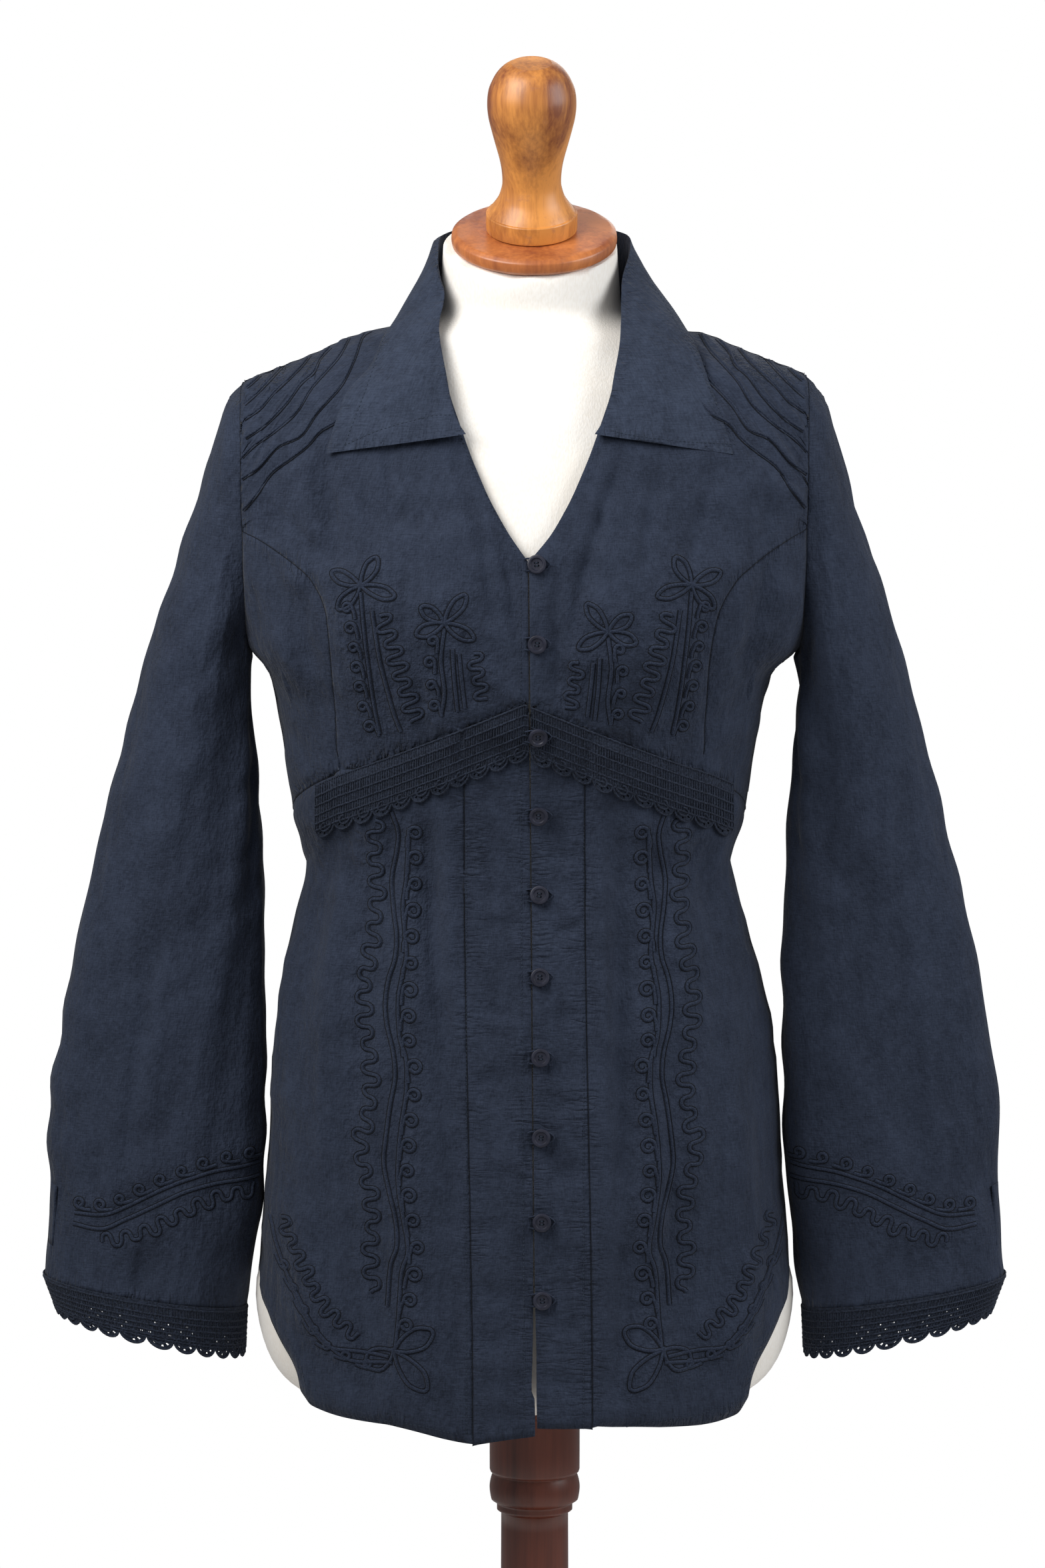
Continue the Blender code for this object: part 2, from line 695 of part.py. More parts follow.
def build_sleeve(name, hand):
    turns = [360 * j / SLEEVE_ROUND for j in range(SLEEVE_ROUND)]
    outer = [[sleeve_at(ring, t, sleeve_fold(i, t), hand) for t in turns] for i, ring in enumerate(SLEEVE)]
    inner = [
        [sleeve_at(ring, t, sleeve_fold(i, t) + CLOTH, hand) for t in turns]
        for i, ring in enumerate(SLEEVE)
    ]
    wall(name, outer, inner, "cloth", loop=True)


def build_cuff_lace(name, hand):
    count = 2 * CUFF["scallops"]
    top = list(SLEEVE[-1])
    top[1], top[3] = top[1] - 2 * SEAM, top[3] - 2 * SEAM
    rings = [[], []]
    inner = [[], []]
    for j in range(count):
        turn = 360 * j / count
        low = list(CUFF_FOOT)
        low[1], low[3] = (low[k] - CUFF["drop"] * (j % 2 - 1) for k in (1, 3))
        for k, ring in enumerate((low, top)):
            rings[k].append(sleeve_at(ring, turn, 0, hand))
            inner[k].append(sleeve_at(ring, turn, LACE, hand))
    wall(name, rings, inner, "lace", loop=True)


def sleeve_ring(z):
    """The sleeve ring whose outer edge is at this height."""
    heights = [row[1] for row in SLEEVE][::-1]
    return [np.interp(z, heights, [row[k] for row in SLEEVE][::-1]) for k in range(7)]


def build_cuff_tab(name, hand):
    """The bound end of the cuff's short slit, lying on the sleeve's outer edge."""
    half = TAB["width"] / 2
    outer, inner = [], []
    for z in (TAB["foot"], (TAB["foot"] + TAB["top"]) / 2, TAB["top"]):
        ring = sleeve_ring(z)
        step = math.degrees(half / 30)
        turns = [12 + step * k for k in (-1, 0, 1)]
        outer.append([sleeve_at(ring, t, -1.0 - TAB["thick"], hand) for t in turns])
        inner.append([sleeve_at(ring, t, -1.0, hand) for t in turns])
    wall(name, outer, inner, "cloth")


def collar_section(row, hand):
    """The folded collar's outline at one station, as a closed loop of points."""
    x_fold, y_fold, z_fold, x_edge, y_edge, z_edge, x_base, y_base, z_base, bow = row
    fold = np.array([hand * x_fold, y_fold, z_fold])
    edge = np.array([hand * x_edge, y_edge, z_edge])
    base = np.array([hand * x_base, y_base, z_base])
    along = (edge - fold) / np.linalg.norm(edge - fold)
    down = base - fold
    up = -(down - along * down.dot(along))
    up /= np.linalg.norm(up)
    length = np.linalg.norm(edge - fold)
    half = COLLAR_WALL / 2
    stand = down / np.linalg.norm(down)
    inwards = -(along - stand * along.dot(stand))
    inwards /= np.linalg.norm(inwards)

    def fall(share, bulge):
        return fold + along * length * share + up * bulge

    rise = min(3.0, 0.45 * np.linalg.norm(down))
    return [
        base + inwards * half,
        fold + stand * rise + inwards * half,
        fold + inwards * half * 0.5 + up * half * 0.9,
        fall(0.06, half + 0.8 + bow * 0.22),
        fall(0.4, half + bow),
        fall(0.75, half + bow * 0.6),
        fall(1.0, half),
        fall(1.0, -half),
        fall(0.75, bow * 0.6 - half),
        fall(0.4, bow - half),
        fold + stand * (half + 1.4) + along * 1.4,
        base - inwards * half,
    ]


def build_collar(name):
    columns = np.array(COLLAR, float)
    stations = np.linspace(0, len(COLLAR) - 1, COLLAR_STEPS)
    rows = [[np.interp(s, range(len(COLLAR)), columns[:, k]) for k in range(10)] for s in stations]
    sections = [collar_section(row, -1) for row in rows[::-1]]
    sections += [collar_section(row, 1) for row in rows[1:]]
    points, count = [], len(sections[0])
    for section in sections:
        for k, p in enumerate(section):
            points.append(clear_of_torso(p + (NECK_SHIFT, 0, 0), COLLAR_LIFTS[k]))
    faces = [tuple(range(count))]
    faces.append(tuple(len(points) - 1 - k for k in range(count)))
    for i in range(len(sections) - 1):
        for k in range(count):
            a, b = i * count + k, i * count + (k + 1) % count
            faces.append((b, a, a + count, b + count))
    mesh_object(name, points, faces, "cloth")


def clear_of_torso(p, lift):
    """Moves a point out along the surface's normal until it is this far from the bodice."""
    side = "front" if p[1] < 0 else "back"
    for _ in range(30):
        normal = surface_normal(p, side)
        if fullness(p - normal * lift, side) >= 1:
            return p
        p = p + normal * 0.3
    return p


def turned(name, profile, segments, place, finish, lean=0.0):
    """A closed turned piece about an upright or leaning axis, from heights and radii."""
    tilt = math.radians(lean)
    axis = np.array([0, -math.sin(tilt), math.cos(tilt)])
    fore = np.array([0, -math.cos(tilt), -math.sin(tilt)])
    points, faces = [], []
    for height, radius in profile:
        for j in range(segments):
            turn = 2 * math.pi * j / segments
            ring = np.array([math.sin(turn) * radius, 0, 0]) + fore * math.cos(turn) * radius
            points.append(np.array(place) + axis * height + ring)
    for i in range(len(profile) - 1):
        for j in range(segments):
            a, b = i * segments + j, i * segments + (j + 1) % segments
            faces.append((a, b, b + segments, a + segments))
    faces.append(tuple(range(segments))[::-1])
    faces.append(tuple(len(points) - segments + j for j in range(segments)))
    mesh_object(name, points, faces, finish)


def neck_place(share):
    """Centre and lean of the neck's axis, from the shoulders at 0 to the plate at 1."""
    lean = math.radians(NECK["lean"]) * share
    rise = NECK["top"] - 1014
    y = NECK["back"] - math.tan(math.radians(NECK["lean"]) / 2) * rise * share * 1.4
    return np.array([NECK_SHIFT, y, 1014 + rise * share]), lean


def form_ring(z):
    air = np.interp(z, *zip(*FORM_AIR))
    widest = np.interp(z, *zip(*FORM_WIDEST))
    ring = []
    for j in range(FORM_ROUND):
        turn = 360 * j / FORM_ROUND
        side = "front" if turn < 90 or turn > 270 else "back"
        from_centre = min(turn, 360 - turn) if side == "front" else abs(turn - 180)
        hand = 1 if turn < 180 else -1
        p = by_angle(from_centre, z, side, hand)
        narrow = min(1.0, widest / half_width(z, side))
        p = p - surface_normal(p, side) * (CLOTH + air)
        p[0] *= narrow
        ring.append(p)
    return ring


def build_form(name):
    rings = [form_ring(z) for z in FORM_HEIGHTS]
    low = rings[0]
    middle = np.mean(low, axis=0)
    under = []
    for z, share in FORM_UNDER:
        under.append([np.array([*(middle + (p - middle) * share)[:2], z]) for p in low])
    rings = under + rings
    for share in (0.05, 0.35, 0.7, 1.0):
        centre, lean = neck_place(share)
        radius = NECK["radius"] + (NECK["top_radius"] - NECK["radius"]) * share
        fore = np.array([0, -math.cos(lean), -math.sin(lean)])
        ring = []
        for j in range(FORM_ROUND):
            turn = 2 * math.pi * j / FORM_ROUND
            ring.append(centre + np.array([math.sin(turn) * radius, 0, 0]) + fore * math.cos(turn) * radius)
        rings.append(ring)
    points = [p for ring in rings for p in ring]
    faces = []
    for i in range(len(rings) - 1):
        for j in range(FORM_ROUND):
            a, b = i * FORM_ROUND + j, i * FORM_ROUND + (j + 1) % FORM_ROUND
            faces.append((a, b, b + FORM_ROUND, a + FORM_ROUND))
    faces.append(tuple(range(FORM_ROUND))[::-1])
    faces.append(tuple(len(points) - FORM_ROUND + j for j in range(FORM_ROUND)))
    mesh_object(name, points, faces, "jersey")


def cloth_top(z):
    """How far the outermost cloth at a button stands above the torso's surface."""
    line = band_line(10)
    return LACE_LIFT + LACE if line - BAND["height"] - BAND["scallop_drop"] - 6 < z < line + 6 else 0.0


def button_frame(z):
    """A button's middle on the cloth, and its axes: across, up and out."""
    x = edge_x(z, 1) + BUTTON["off_edge"]
    p = on_surface(x, z)
    out = surface_normal(p, "front")
    across = np.cross([0, 0, 1.0], out)
    across = -across / np.linalg.norm(across)
    across = across if across[0] > 0 else -across
    return p + out * cloth_top(z), across, np.cross(out, across) * -1, out


def build_button(name, z):
    middle, across, up, out = button_frame(z)
    r, top = BUTTON["radius"], BUTTON["thick"]
    profile = ((0, r), (top - 0.5, r), (top, r - 0.6), (top, r - BUTTON["rim"]))
    profile += ((top - BUTTON["dish"], r - BUTTON["rim"] - 0.7),)
    segments, points, faces = 12, [], []
    for height, radius in profile:
        for j in range(segments):
            turn = 2 * math.pi * j / segments
            flat = across * math.cos(turn) * radius + up * math.sin(turn) * radius
            points.append(middle + out * (BUTTON["lift"] + height) + flat)
    for i in range(len(profile) - 1):
        for j in range(segments):
            a, b = i * segments + j, i * segments + (j + 1) % segments
            faces.append((a, b, b + segments, a + segments))
    faces.append(tuple(range(segments))[::-1])
    faces.append(tuple(len(points) - segments + j for j in range(segments)))
    mesh_object(name, points, faces, "button")


def build_loop(name, z):
    """A pointed loop of rolled cloth from the left front's edge round the button's far side."""
    middle, across, up, out = button_frame(z)
    root_x = -(BUTTON["off_edge"] + parting(z) + LOOP["root"])
    half, reach = LOOP["half"], LOOP["reach"]
    path = ((root_x, 0.7), (0, 1.0), (reach * 0.55, 0.8), (reach, 0.12))
    path += tuple((x, -y) for x, y in path[::-1])
    rise = LOOP["lift"] + LOOP["radius"]
    line = [middle + across * x + up * (y * half) + out * rise for x, y in path]
    sides, points, faces = 5, [], []
    for i, p in enumerate(line):
        ahead = line[min(i + 1, len(line) - 1)] - line[max(i - 1, 0)]
        ahead /= np.linalg.norm(ahead)
        cross = np.cross(out, ahead)
        cross /= np.linalg.norm(cross)
        for j in range(sides):
            turn = 2 * math.pi * (j + 0.5) / sides
            points.append(p + (cross * math.cos(turn) + out * math.sin(turn)) * LOOP["radius"])
    for i in range(len(line) - 1):
        for j in range(sides):
            a, b = i * sides + j, i * sides + (j + 1) % sides
            faces.append((a, b, b + sides, a + sides))
    faces.append(tuple(range(sides))[::-1])
    faces.append(tuple(len(points) - sides + j for j in range(sides)))
    mesh_object(name, points, faces, "cloth")


def build_blouse():
    for name, hand in (("left", -1), ("right", 1)):
        build_front_bodice(f"front_bodice_{name}", hand)
        build_side_front(f"side_front_{name}", hand)
        build_front_skirt(f"front_skirt_{name}", hand)
        build_placket(f"placket_{name}", hand)
        build_lace_band(f"lace_band_{name}", hand)
        build_sleeve(f"sleeve_{name}", hand)
        build_cuff_lace(f"cuff_lace_{name}", hand)
        build_cuff_tab(f"cuff_tab_{name}", hand)
    build_back_bodice("back_bodice")
    build_back_skirt("back_skirt")
    build_collar("collar")
    for number, z in enumerate(BUTTON_HEIGHTS, 1):
        build_button(f"button_{number:02d}", z)
        build_loop(f"button_loop_{number:02d}", z)


def build_stand():
    build_form("dress_form")
    top, _ = neck_place(1.0)
    lean = NECK["lean"]
    axis = np.array([0, -math.sin(math.radians(lean)), math.cos(math.radians(lean))])
    turned("neck_plate", PLATE_PROFILE, 28, top + axis * 0.3, "wood", lean)
    turned("neck_knob", KNOB_PROFILE, 20, top + axis * (PLATE_PROFILE[-1][0] + 0.6), "wood", lean)
    turned("stand_post", POST_PROFILE, 20, (STAND_X, 0, POST_FOOT), "post_wood")
    turned("stand_base", BASE_PROFILE, 36, (STAND_X, 0, 0), "post_wood")


for old in list(bpy.data.objects):
    bpy.data.objects.remove(old, do_unlink=True)
build_blouse()
build_stand()
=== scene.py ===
# A navy cotton blouse on a dress form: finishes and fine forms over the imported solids.
# Metres, +Z up, the front faces -Y. Dictionaries hold millimetres unless a note says otherwise.

import math

import bmesh
import bpy
import numpy as np
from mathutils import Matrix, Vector
from mathutils.bvhtree import BVHTree
from mathutils.kdtree import KDTree


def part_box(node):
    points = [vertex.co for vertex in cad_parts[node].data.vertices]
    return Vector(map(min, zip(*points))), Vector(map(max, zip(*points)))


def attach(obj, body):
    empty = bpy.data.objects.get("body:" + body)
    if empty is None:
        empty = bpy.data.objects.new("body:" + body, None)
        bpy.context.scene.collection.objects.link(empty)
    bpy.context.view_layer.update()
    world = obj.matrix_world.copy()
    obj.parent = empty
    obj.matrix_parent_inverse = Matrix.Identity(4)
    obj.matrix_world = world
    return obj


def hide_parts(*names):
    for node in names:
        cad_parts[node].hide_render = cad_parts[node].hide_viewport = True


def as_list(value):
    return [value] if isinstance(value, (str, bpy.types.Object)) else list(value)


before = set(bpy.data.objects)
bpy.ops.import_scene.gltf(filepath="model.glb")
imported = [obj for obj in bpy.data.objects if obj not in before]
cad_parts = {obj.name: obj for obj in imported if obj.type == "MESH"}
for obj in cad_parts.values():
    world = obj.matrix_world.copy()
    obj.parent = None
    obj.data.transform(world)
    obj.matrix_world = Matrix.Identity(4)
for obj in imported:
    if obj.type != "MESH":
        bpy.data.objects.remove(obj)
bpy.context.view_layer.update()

mm = 0.001
hands = {"left": -1, "right": 1}


def linked(name, data):
    made = bpy.data.objects.new(name, data)
    bpy.context.scene.collection.objects.link(made)
    return made


# Camera and light

view = {  # metres and degrees
    "away": 4.0, "down": 7.26, "targetX": -0.00126, "targetZ": 0.72, "lens": 218.66, "sensor": 36,
}
lamps = {  # power in watts, size and place in metres, colour
    "keyLamp": (24.5, 1.0, (-0.82, -0.8, 1.72), (1, 0.99, 0.97)),
    "fillLamp": (22, 1.2, (1.62, -0.58, 1.42), (0.96, 0.98, 1)),
    "backLamp": (5, 1.0, (0.3, 1.6, 1.7), (1, 1, 1)),
}
stage = {"worldLight": 0.26, "aim": (0, 0, 0.75), "floorRadius": 0.6, "floorSides": 96}  # metres


def makeCamera():
    down = math.radians(view["down"])
    camera = linked("camera", bpy.data.cameras.new("camera"))
    camera.data.sensor_width, camera.data.sensor_fit = view["sensor"], "HORIZONTAL"
    camera.data.lens = view["lens"]
    high = view["targetZ"] + view["away"] * math.sin(down)
    camera.location = (view["targetX"], -view["away"] * math.cos(down), high)
    camera.rotation_euler = (math.pi / 2 - down, 0, 0)
    bpy.context.scene.camera = camera


def makeLamp(name, power, size, place, colour):
    lamp = linked(name, bpy.data.lights.new(name, "AREA"))
    lamp.data.energy, lamp.data.size, lamp.data.color = power, size, colour
    lamp.location = place
    aim = Vector(stage["aim"]) - Vector(place)
    lamp.rotation_euler = aim.to_track_quat("-Z", "Y").to_euler()


def makeStage():
    world = bpy.data.worlds.new("studio")
    world.use_nodes = True
    tree = world.node_tree
    soft, white = tree.nodes["Background"], tree.nodes.new("ShaderNodeBackground")
    seen, mix = tree.nodes.new("ShaderNodeLightPath"), tree.nodes.new("ShaderNodeMixShader")
    for sky, strength in ((soft, stage["worldLight"]), (white, 1.0)):
        sky.inputs["Color"].default_value = (1, 1, 1, 1)
        sky.inputs["Strength"].default_value = strength
    tree.links.new(seen.outputs["Is Camera Ray"], mix.inputs[0])
    tree.links.new(soft.outputs[0], mix.inputs[1])
    tree.links.new(white.outputs[0], mix.inputs[2])
    tree.links.new(mix.outputs[0], tree.nodes["World Output"].inputs["Surface"])
    bpy.context.scene.world = world
    bpy.context.scene.view_settings.view_transform = "Standard"
    for name, values in lamps.items():
        makeLamp(name, *values)
    mesh = bpy.data.meshes.new("floor")
    wide, sides = stage["floorRadius"], stage["floorSides"]
    turns = np.linspace(0, 2 * math.pi, sides + 1)[:-1]
    ring = [(wide * math.cos(a), wide * math.sin(a), -0.0005) for a in turns]
    mesh.from_pydata(ring, [], [range(sides)])
    floor = linked("floor", mesh)
    made, tree, shader = newMaterial("floorPaint", 0.6)
    shader.inputs["Base Color"].default_value = (0.82, 0.81, 0.79, 1)
    mesh.materials.append(made)


# Materials

def newMaterial(name, rough, specular=0.3):
    made = bpy.data.materials.new(name)
    made.use_nodes = True
    shader = made.node_tree.nodes["Principled BSDF"]
    shader.inputs["Roughness"].default_value = rough
    shader.inputs["Specular IOR Level"].default_value = specular
    return made, made.node_tree, shader


def node(tree, kind, settings=None, **values):
    made = tree.nodes.new(kind)
    for key, value in (settings or {}).items():
        setattr(made, key, value)
    for key, value in values.items():
        made.inputs[key.replace("_", " ")].default_value = value
    return made


def sockets(tree, inputs, outputs):
    for way, names in (("INPUT", inputs), ("OUTPUT", outputs)):
        for name, kind, value in names:
            kind = f"NodeSocket{kind}"
            socket = tree.interface.new_socket(name=name, in_out=way, socket_type=kind)
            if value is not None:
                socket.default_value = value
    return tree.nodes.new("NodeGroupInput"), tree.nodes.new("NodeGroupOutput")


def maths(tree, how, first, second=None, third=None):
    made = node(tree, "ShaderNodeMath", {"operation": how})
    for slot, value in enumerate((first, second, third)):
        if isinstance(value, (int, float)):
            made.inputs[slot].default_value = value
        elif value is not None:
            tree.links.new(value, made.inputs[slot])
    return made.outputs[0]


def noise(tree, vector, stretch, detail=2.0, rough=0.5):
    # stretch: how many features fit in a metre, each way
    turn = node(tree, "ShaderNodeVectorMath", {"operation": "MULTIPLY"})
    turn.inputs[1].default_value = stretch
    tree.links.new(vector, turn.inputs[0])
    made = node(tree, "ShaderNodeTexNoise", Scale=1.0, Detail=detail, Roughness=rough)
    tree.links.new(turn.outputs[0], made.inputs["Vector"])
    return made.outputs["Fac"]


def makeWeaveGroup():
    tree = bpy.data.node_groups.new("slubWeave", "ShaderNodeTree")
    inside, outside = sockets(
        tree,
        [("Cloth", "Vector", None), ("Place", "Vector", None), ("Seam", "Float", 0.0),
         ("Hem", "Float", 0.0), ("Worked", "Float", 0.0), ("Crinkle", "Float", 1.0)],
        [("Height", "Float", None), ("Tone", "Float", None)],
    )
    cloth, place = inside.outputs["Cloth"], inside.outputs["Place"]
    warp = noise(tree, cloth, (1500, 170, 1), 1)
    weft = noise(tree, cloth, (190, 1350, 1), 1)
    thread = maths(tree, "ADD", warp, weft)
    crinkle = noise(tree, place, (150, 150, 70), 3, 0.62)
    crease = noise(tree, place, (38, 38, 17), 2, 0.5)
    waves = maths(tree, "MULTIPLY_ADD", crease, 2.4, crinkle)
    waves = maths(tree, "MULTIPLY_ADD", noise(tree, place, (430, 430, 300), 1), 0.35, waves)
    waves = maths(tree, "MULTIPLY", waves, inside.outputs["Crinkle"])
    height = maths(tree, "MULTIPLY_ADD", thread, 0.1, waves)
    pucker = noise(tree, place, (210, 210, 165), 3, 0.65)
    worked = maths(tree, "MULTIPLY", inside.outputs["Worked"], pucker)
    height = maths(tree, "MULTIPLY_ADD", worked, 1.7, height)
    patchy = noise(tree, place, (30, 30, 45), 1)
    for socket, stretch, deep in (("Seam", (40, 40, 165), 2.0), ("Hem", (190, 190, 24), 3.6)):
        line = maths(tree, "SUBTRACT", noise(tree, place, stretch, 2, 0.6), 0.5)
        line = maths(tree, "MULTIPLY", maths(tree, "ABSOLUTE", line), 4.0)
        line = maths(tree, "POWER", line, 0.6)
        amount = maths(tree, "MULTIPLY", maths(tree, "POWER", patchy, 2.0), deep)
        amount = maths(tree, "MULTIPLY", inside.outputs[socket], amount)
        height = maths(tree, "ADD", height, maths(tree, "MULTIPLY", line, amount))
    tree.links.new(height, outside.inputs["Height"])
    speck = noise(tree, cloth, (1100, 900, 1), 1, 0.7)
    mottle = maths(tree, "MULTIPLY_ADD", thread, 0.4, maths(tree, "MULTIPLY", speck, 0.35))
    mottle = maths(tree, "MULTIPLY_ADD", crinkle, 0.4, mottle)
    mottle = maths(tree, "MULTIPLY_ADD", crease, 0.36, mottle)
    tree.links.new(mottle, outside.inputs["Tone"])
    return tree


def mixed(tree, share, first, second):
    # two colours, each given or linked, mixed by a linked share
    blend = node(tree, "ShaderNodeMix", {"data_type": "RGBA"})
    ports = [s for s in blend.inputs if s.type == "RGBA"]
    for port, colour in zip(ports, (first, second)):
        if isinstance(colour, tuple):
            port.default_value = (*colour, 1)
        else:
            tree.links.new(colour, port)
    tree.links.new(share, blend.inputs["Factor"])
    return next(s for s in blend.outputs if s.type == "RGBA")


def colourBlend(tree, share, dark, pale, low, high):
    scale = node(tree, "ShaderNodeMapRange")
    for socket, value in (("From Min", low), ("From Max", high)):
        scale.inputs[socket].default_value = value
    tree.links.new(share, scale.inputs["Value"])
    return mixed(tree, scale.outputs["Result"], dark, pale)


def bump(tree, shader, height, strength, reach):
    made = node(tree, "ShaderNodeBump", Strength=strength, Distance=reach)
    tree.links.new(height, made.inputs["Height"])
    tree.links.new(made.outputs["Normal"], shader.inputs["Normal"])


weaveGroup = makeWeaveGroup()


def clothMaterial(name, dark, pale, crinkle, strength, sheen):
    made, tree, shader = newMaterial(name, 0.88, 0.22)
    coords = node(tree, "ShaderNodeTexCoord")
    weave = node(tree, "ShaderNodeGroup", {"node_tree": weaveGroup}, Crinkle=crinkle)
    tree.links.new(coords.outputs["UV"], weave.inputs["Cloth"])
    tree.links.new(coords.outputs["Object"], weave.inputs["Place"])
    for mask in ("Seam", "Hem", "Worked"):
        read = node(tree, "ShaderNodeAttribute", {"attribute_name": mask.lower()})
        tree.links.new(read.outputs["Fac"], weave.inputs[mask])
    colour = colourBlend(tree, weave.outputs["Tone"], dark, pale, 0.68, 1.12)
    tree.links.new(colour, shader.inputs["Base Color"])
    bump(tree, shader, weave.outputs["Height"], strength, 0.0016)
    shader.inputs["Sheen Weight"].default_value = sheen
    shader.inputs["Sheen Roughness"].default_value = 0.45
    return made


def yarnMaterial(name, dark, pale, twist):
    made, tree, shader = newMaterial(name, 0.85, 0.22)
    place = node(tree, "ShaderNodeTexCoord").outputs["Object"]
    fluff = noise(tree, place, (twist, twist, twist), 2, 0.6)
    colour = colourBlend(tree, fluff, dark, pale, 0.35, 0.68)
    tree.links.new(colour, shader.inputs["Base Color"])
    bump(tree, shader, fluff, 0.8, 0.0007)
    shader.inputs["Sheen Weight"].default_value = 0.04
    return made


def makeWoodGroup():
    tree = bpy.data.node_groups.new("turnedGrain", "ShaderNodeTree")
    inside, outside = sockets(
        tree,
        [("Place", "Vector", None), ("Grain", "Float", 30.0)],
        [("Grain", "Float", None), ("Wear", "Float", None)],
    )
    scaled = node(tree, "ShaderNodeVectorMath", {"operation": "SCALE"})
    tree.links.new(inside.outputs["Place"], scaled.inputs[0])
    tree.links.new(inside.outputs["Grain"], scaled.inputs["Scale"])
    broad = noise(tree, scaled.outputs[0], (1.0, 1.0, 0.09), 3, 0.55)
    fine = noise(tree, scaled.outputs[0], (14, 14, 0.7), 3, 0.6)
    tree.links.new(maths(tree, "MULTIPLY_ADD", fine, 0.35, broad), outside.inputs["Grain"])
    tree.links.new(noise(tree, scaled.outputs[0], (2.2, 2.2, 2.2), 5, 0.7), outside.inputs["Wear"])
    return tree


woodGroup = makeWoodGroup()


def woodMaterial(name, dark, pale, worn, grain, rough, coat):
    made, tree, shader = newMaterial(name, rough, 0.5)
    wood = node(tree, "ShaderNodeGroup", {"node_tree": woodGroup}, Grain=grain)
    tree.links.new(node(tree, "ShaderNodeTexCoord").outputs["Object"], wood.inputs["Place"])
    colour = colourBlend(tree, wood.outputs["Grain"], dark, pale, 0.48, 0.8)
    patch = node(tree, "ShaderNodeMapRange")
    for socket, value in (("From Min", 0.6), ("From Max", 0.74), ("To Max", 0.55)):
        patch.inputs[socket].default_value = value
    tree.links.new(wood.outputs["Wear"], patch.inputs["Value"])
    worn = mixed(tree, patch.outputs["Result"], colour, worn)
    tree.links.new(worn, shader.inputs["Base Color"])
    spread = maths(tree, "MULTIPLY_ADD", patch.outputs["Result"], 0.6, rough)
    tree.links.new(spread, shader.inputs["Roughness"])
    height = maths(tree, "MULTIPLY_ADD", patch.outputs["Result"], 0.8, wood.outputs["Grain"])
    bump(tree, shader, height, 0.25, 0.0006)
    shader.inputs["Coat Weight"].default_value = coat
    shader.inputs["Coat Roughness"].default_value = 0.3
    return made


def jerseyMaterial():
    made, tree, shader = newMaterial("jersey", 0.9, 0.2)
    place = node(tree, "ShaderNodeTexCoord").outputs["Object"]
    rib = noise(tree, place, (900, 900, 260), 1)
    cloud = noise(tree, place, (26, 26, 26), 2)
    shade = maths(tree, "ADD", rib, cloud)
    colour = colourBlend(tree, shade, (0.90, 0.855, 0.79), (0.96, 0.93, 0.885), 0.8, 1.2)
    tree.links.new(colour, shader.inputs["Base Color"])
    bump(tree, shader, maths(tree, "MULTIPLY_ADD", cloud, 2.0, rib), 0.35, 0.0006)
    shader.inputs["Sheen Weight"].default_value = 0.1
    return made


def buttonMaterial():
    made, tree, shader = newMaterial("button", 0.36, 0.45)
    place = node(tree, "ShaderNodeTexCoord").outputs["Object"]
    swirl = noise(tree, place, (160, 160, 160), 4, 0.6)
    dark, pale = (0.0105, 0.0118, 0.0225), (0.025, 0.0275, 0.0475)
    tree.links.new(colourBlend(tree, swirl, dark, pale, 0.35, 0.7), shader.inputs["Base Color"])
    tree.links.new(maths(tree, "MULTIPLY_ADD", swirl, 0.2, 0.3), shader.inputs["Roughness"])
    return made


cloths = {  # dark and pale colour, crinkle, bump, sheen
    "cloth": ("navyCotton", (0.0088, 0.0130, 0.0252), (0.0278, 0.0378, 0.0655), 1.1, 1.0, 0.05),
    "collarCloth": ("navyCollar", (0.0112, 0.0162, 0.0305), (0.0335, 0.0455, 0.0765), 1.0, 1.1, 0.06),
}
yarns = {  # dark and pale colour, fineness of the twist
    "lace": ("navyLace", (0.0058, 0.0088, 0.0172), (0.0235, 0.0325, 0.0565), 800),
    "cord": ("navyCord", (0.0098, 0.0150, 0.0300), (0.0270, 0.0375, 0.0670), 1100),
    # the next yarn is near-black and is laid only as painted shade: in the grooves beside the embroidery, under
    # the tucks and along the seams
    "grooveShade": ("navyShade", (0.0022, 0.0034, 0.0068), (0.0042, 0.0062, 0.0120), 900),
    "thread": ("navyThread", (0.016, 0.024, 0.040), (0.036, 0.050, 0.078), 1500),
}
woods = {  # dark, pale and worn colour, grain, roughness, varnish
    "wood": ("honeyWood", (0.22, 0.058, 0.016), (0.72, 0.29, 0.062), (0.34, 0.13, 0.07), 34, 0.44, 0.25),
    "plateWood": ("redWood", (0.24, 0.055, 0.018), (0.60, 0.20, 0.052), (0.40, 0.15, 0.06), 26, 0.42, 0.3),
    "postWood": ("darkWood", (0.040, 0.0075, 0.0045), (0.14, 0.034, 0.018), (0.10, 0.030, 0.017),
                 22, 0.42, 0.12),
}
finishes = {name: clothMaterial(*values) for name, values in cloths.items()}
finishes |= {name: yarnMaterial(*values) for name, values in yarns.items()}
finishes |= {"button": buttonMaterial(), "jersey": jerseyMaterial()}
finishes |= {name: woodMaterial(*values) for name, values in woods.items()}
makeCamera()
makeStage()
print("camera, light and finishes made")


# Making and finishing pieces

def addPiece(name, mesh, finish, nodes=()):
    piece = linked(name, mesh)
    mesh.materials.clear()
    mesh.materials.append(finishes[finish])
    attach(piece, "root")
    if nodes:
        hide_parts(*nodes)
    return piece


def evaluated(piece):
    # the piece's mesh with its modifiers applied
    bpy.context.view_layer.update()
    graph = bpy.context.evaluated_depsgraph_get()
    return bpy.data.meshes.new_from_object(piece.evaluated_get(graph))


def meshOf(b, name):
    mesh = bpy.data.meshes.new(name)
    b.to_mesh(mesh)
    b.free()
    return mesh


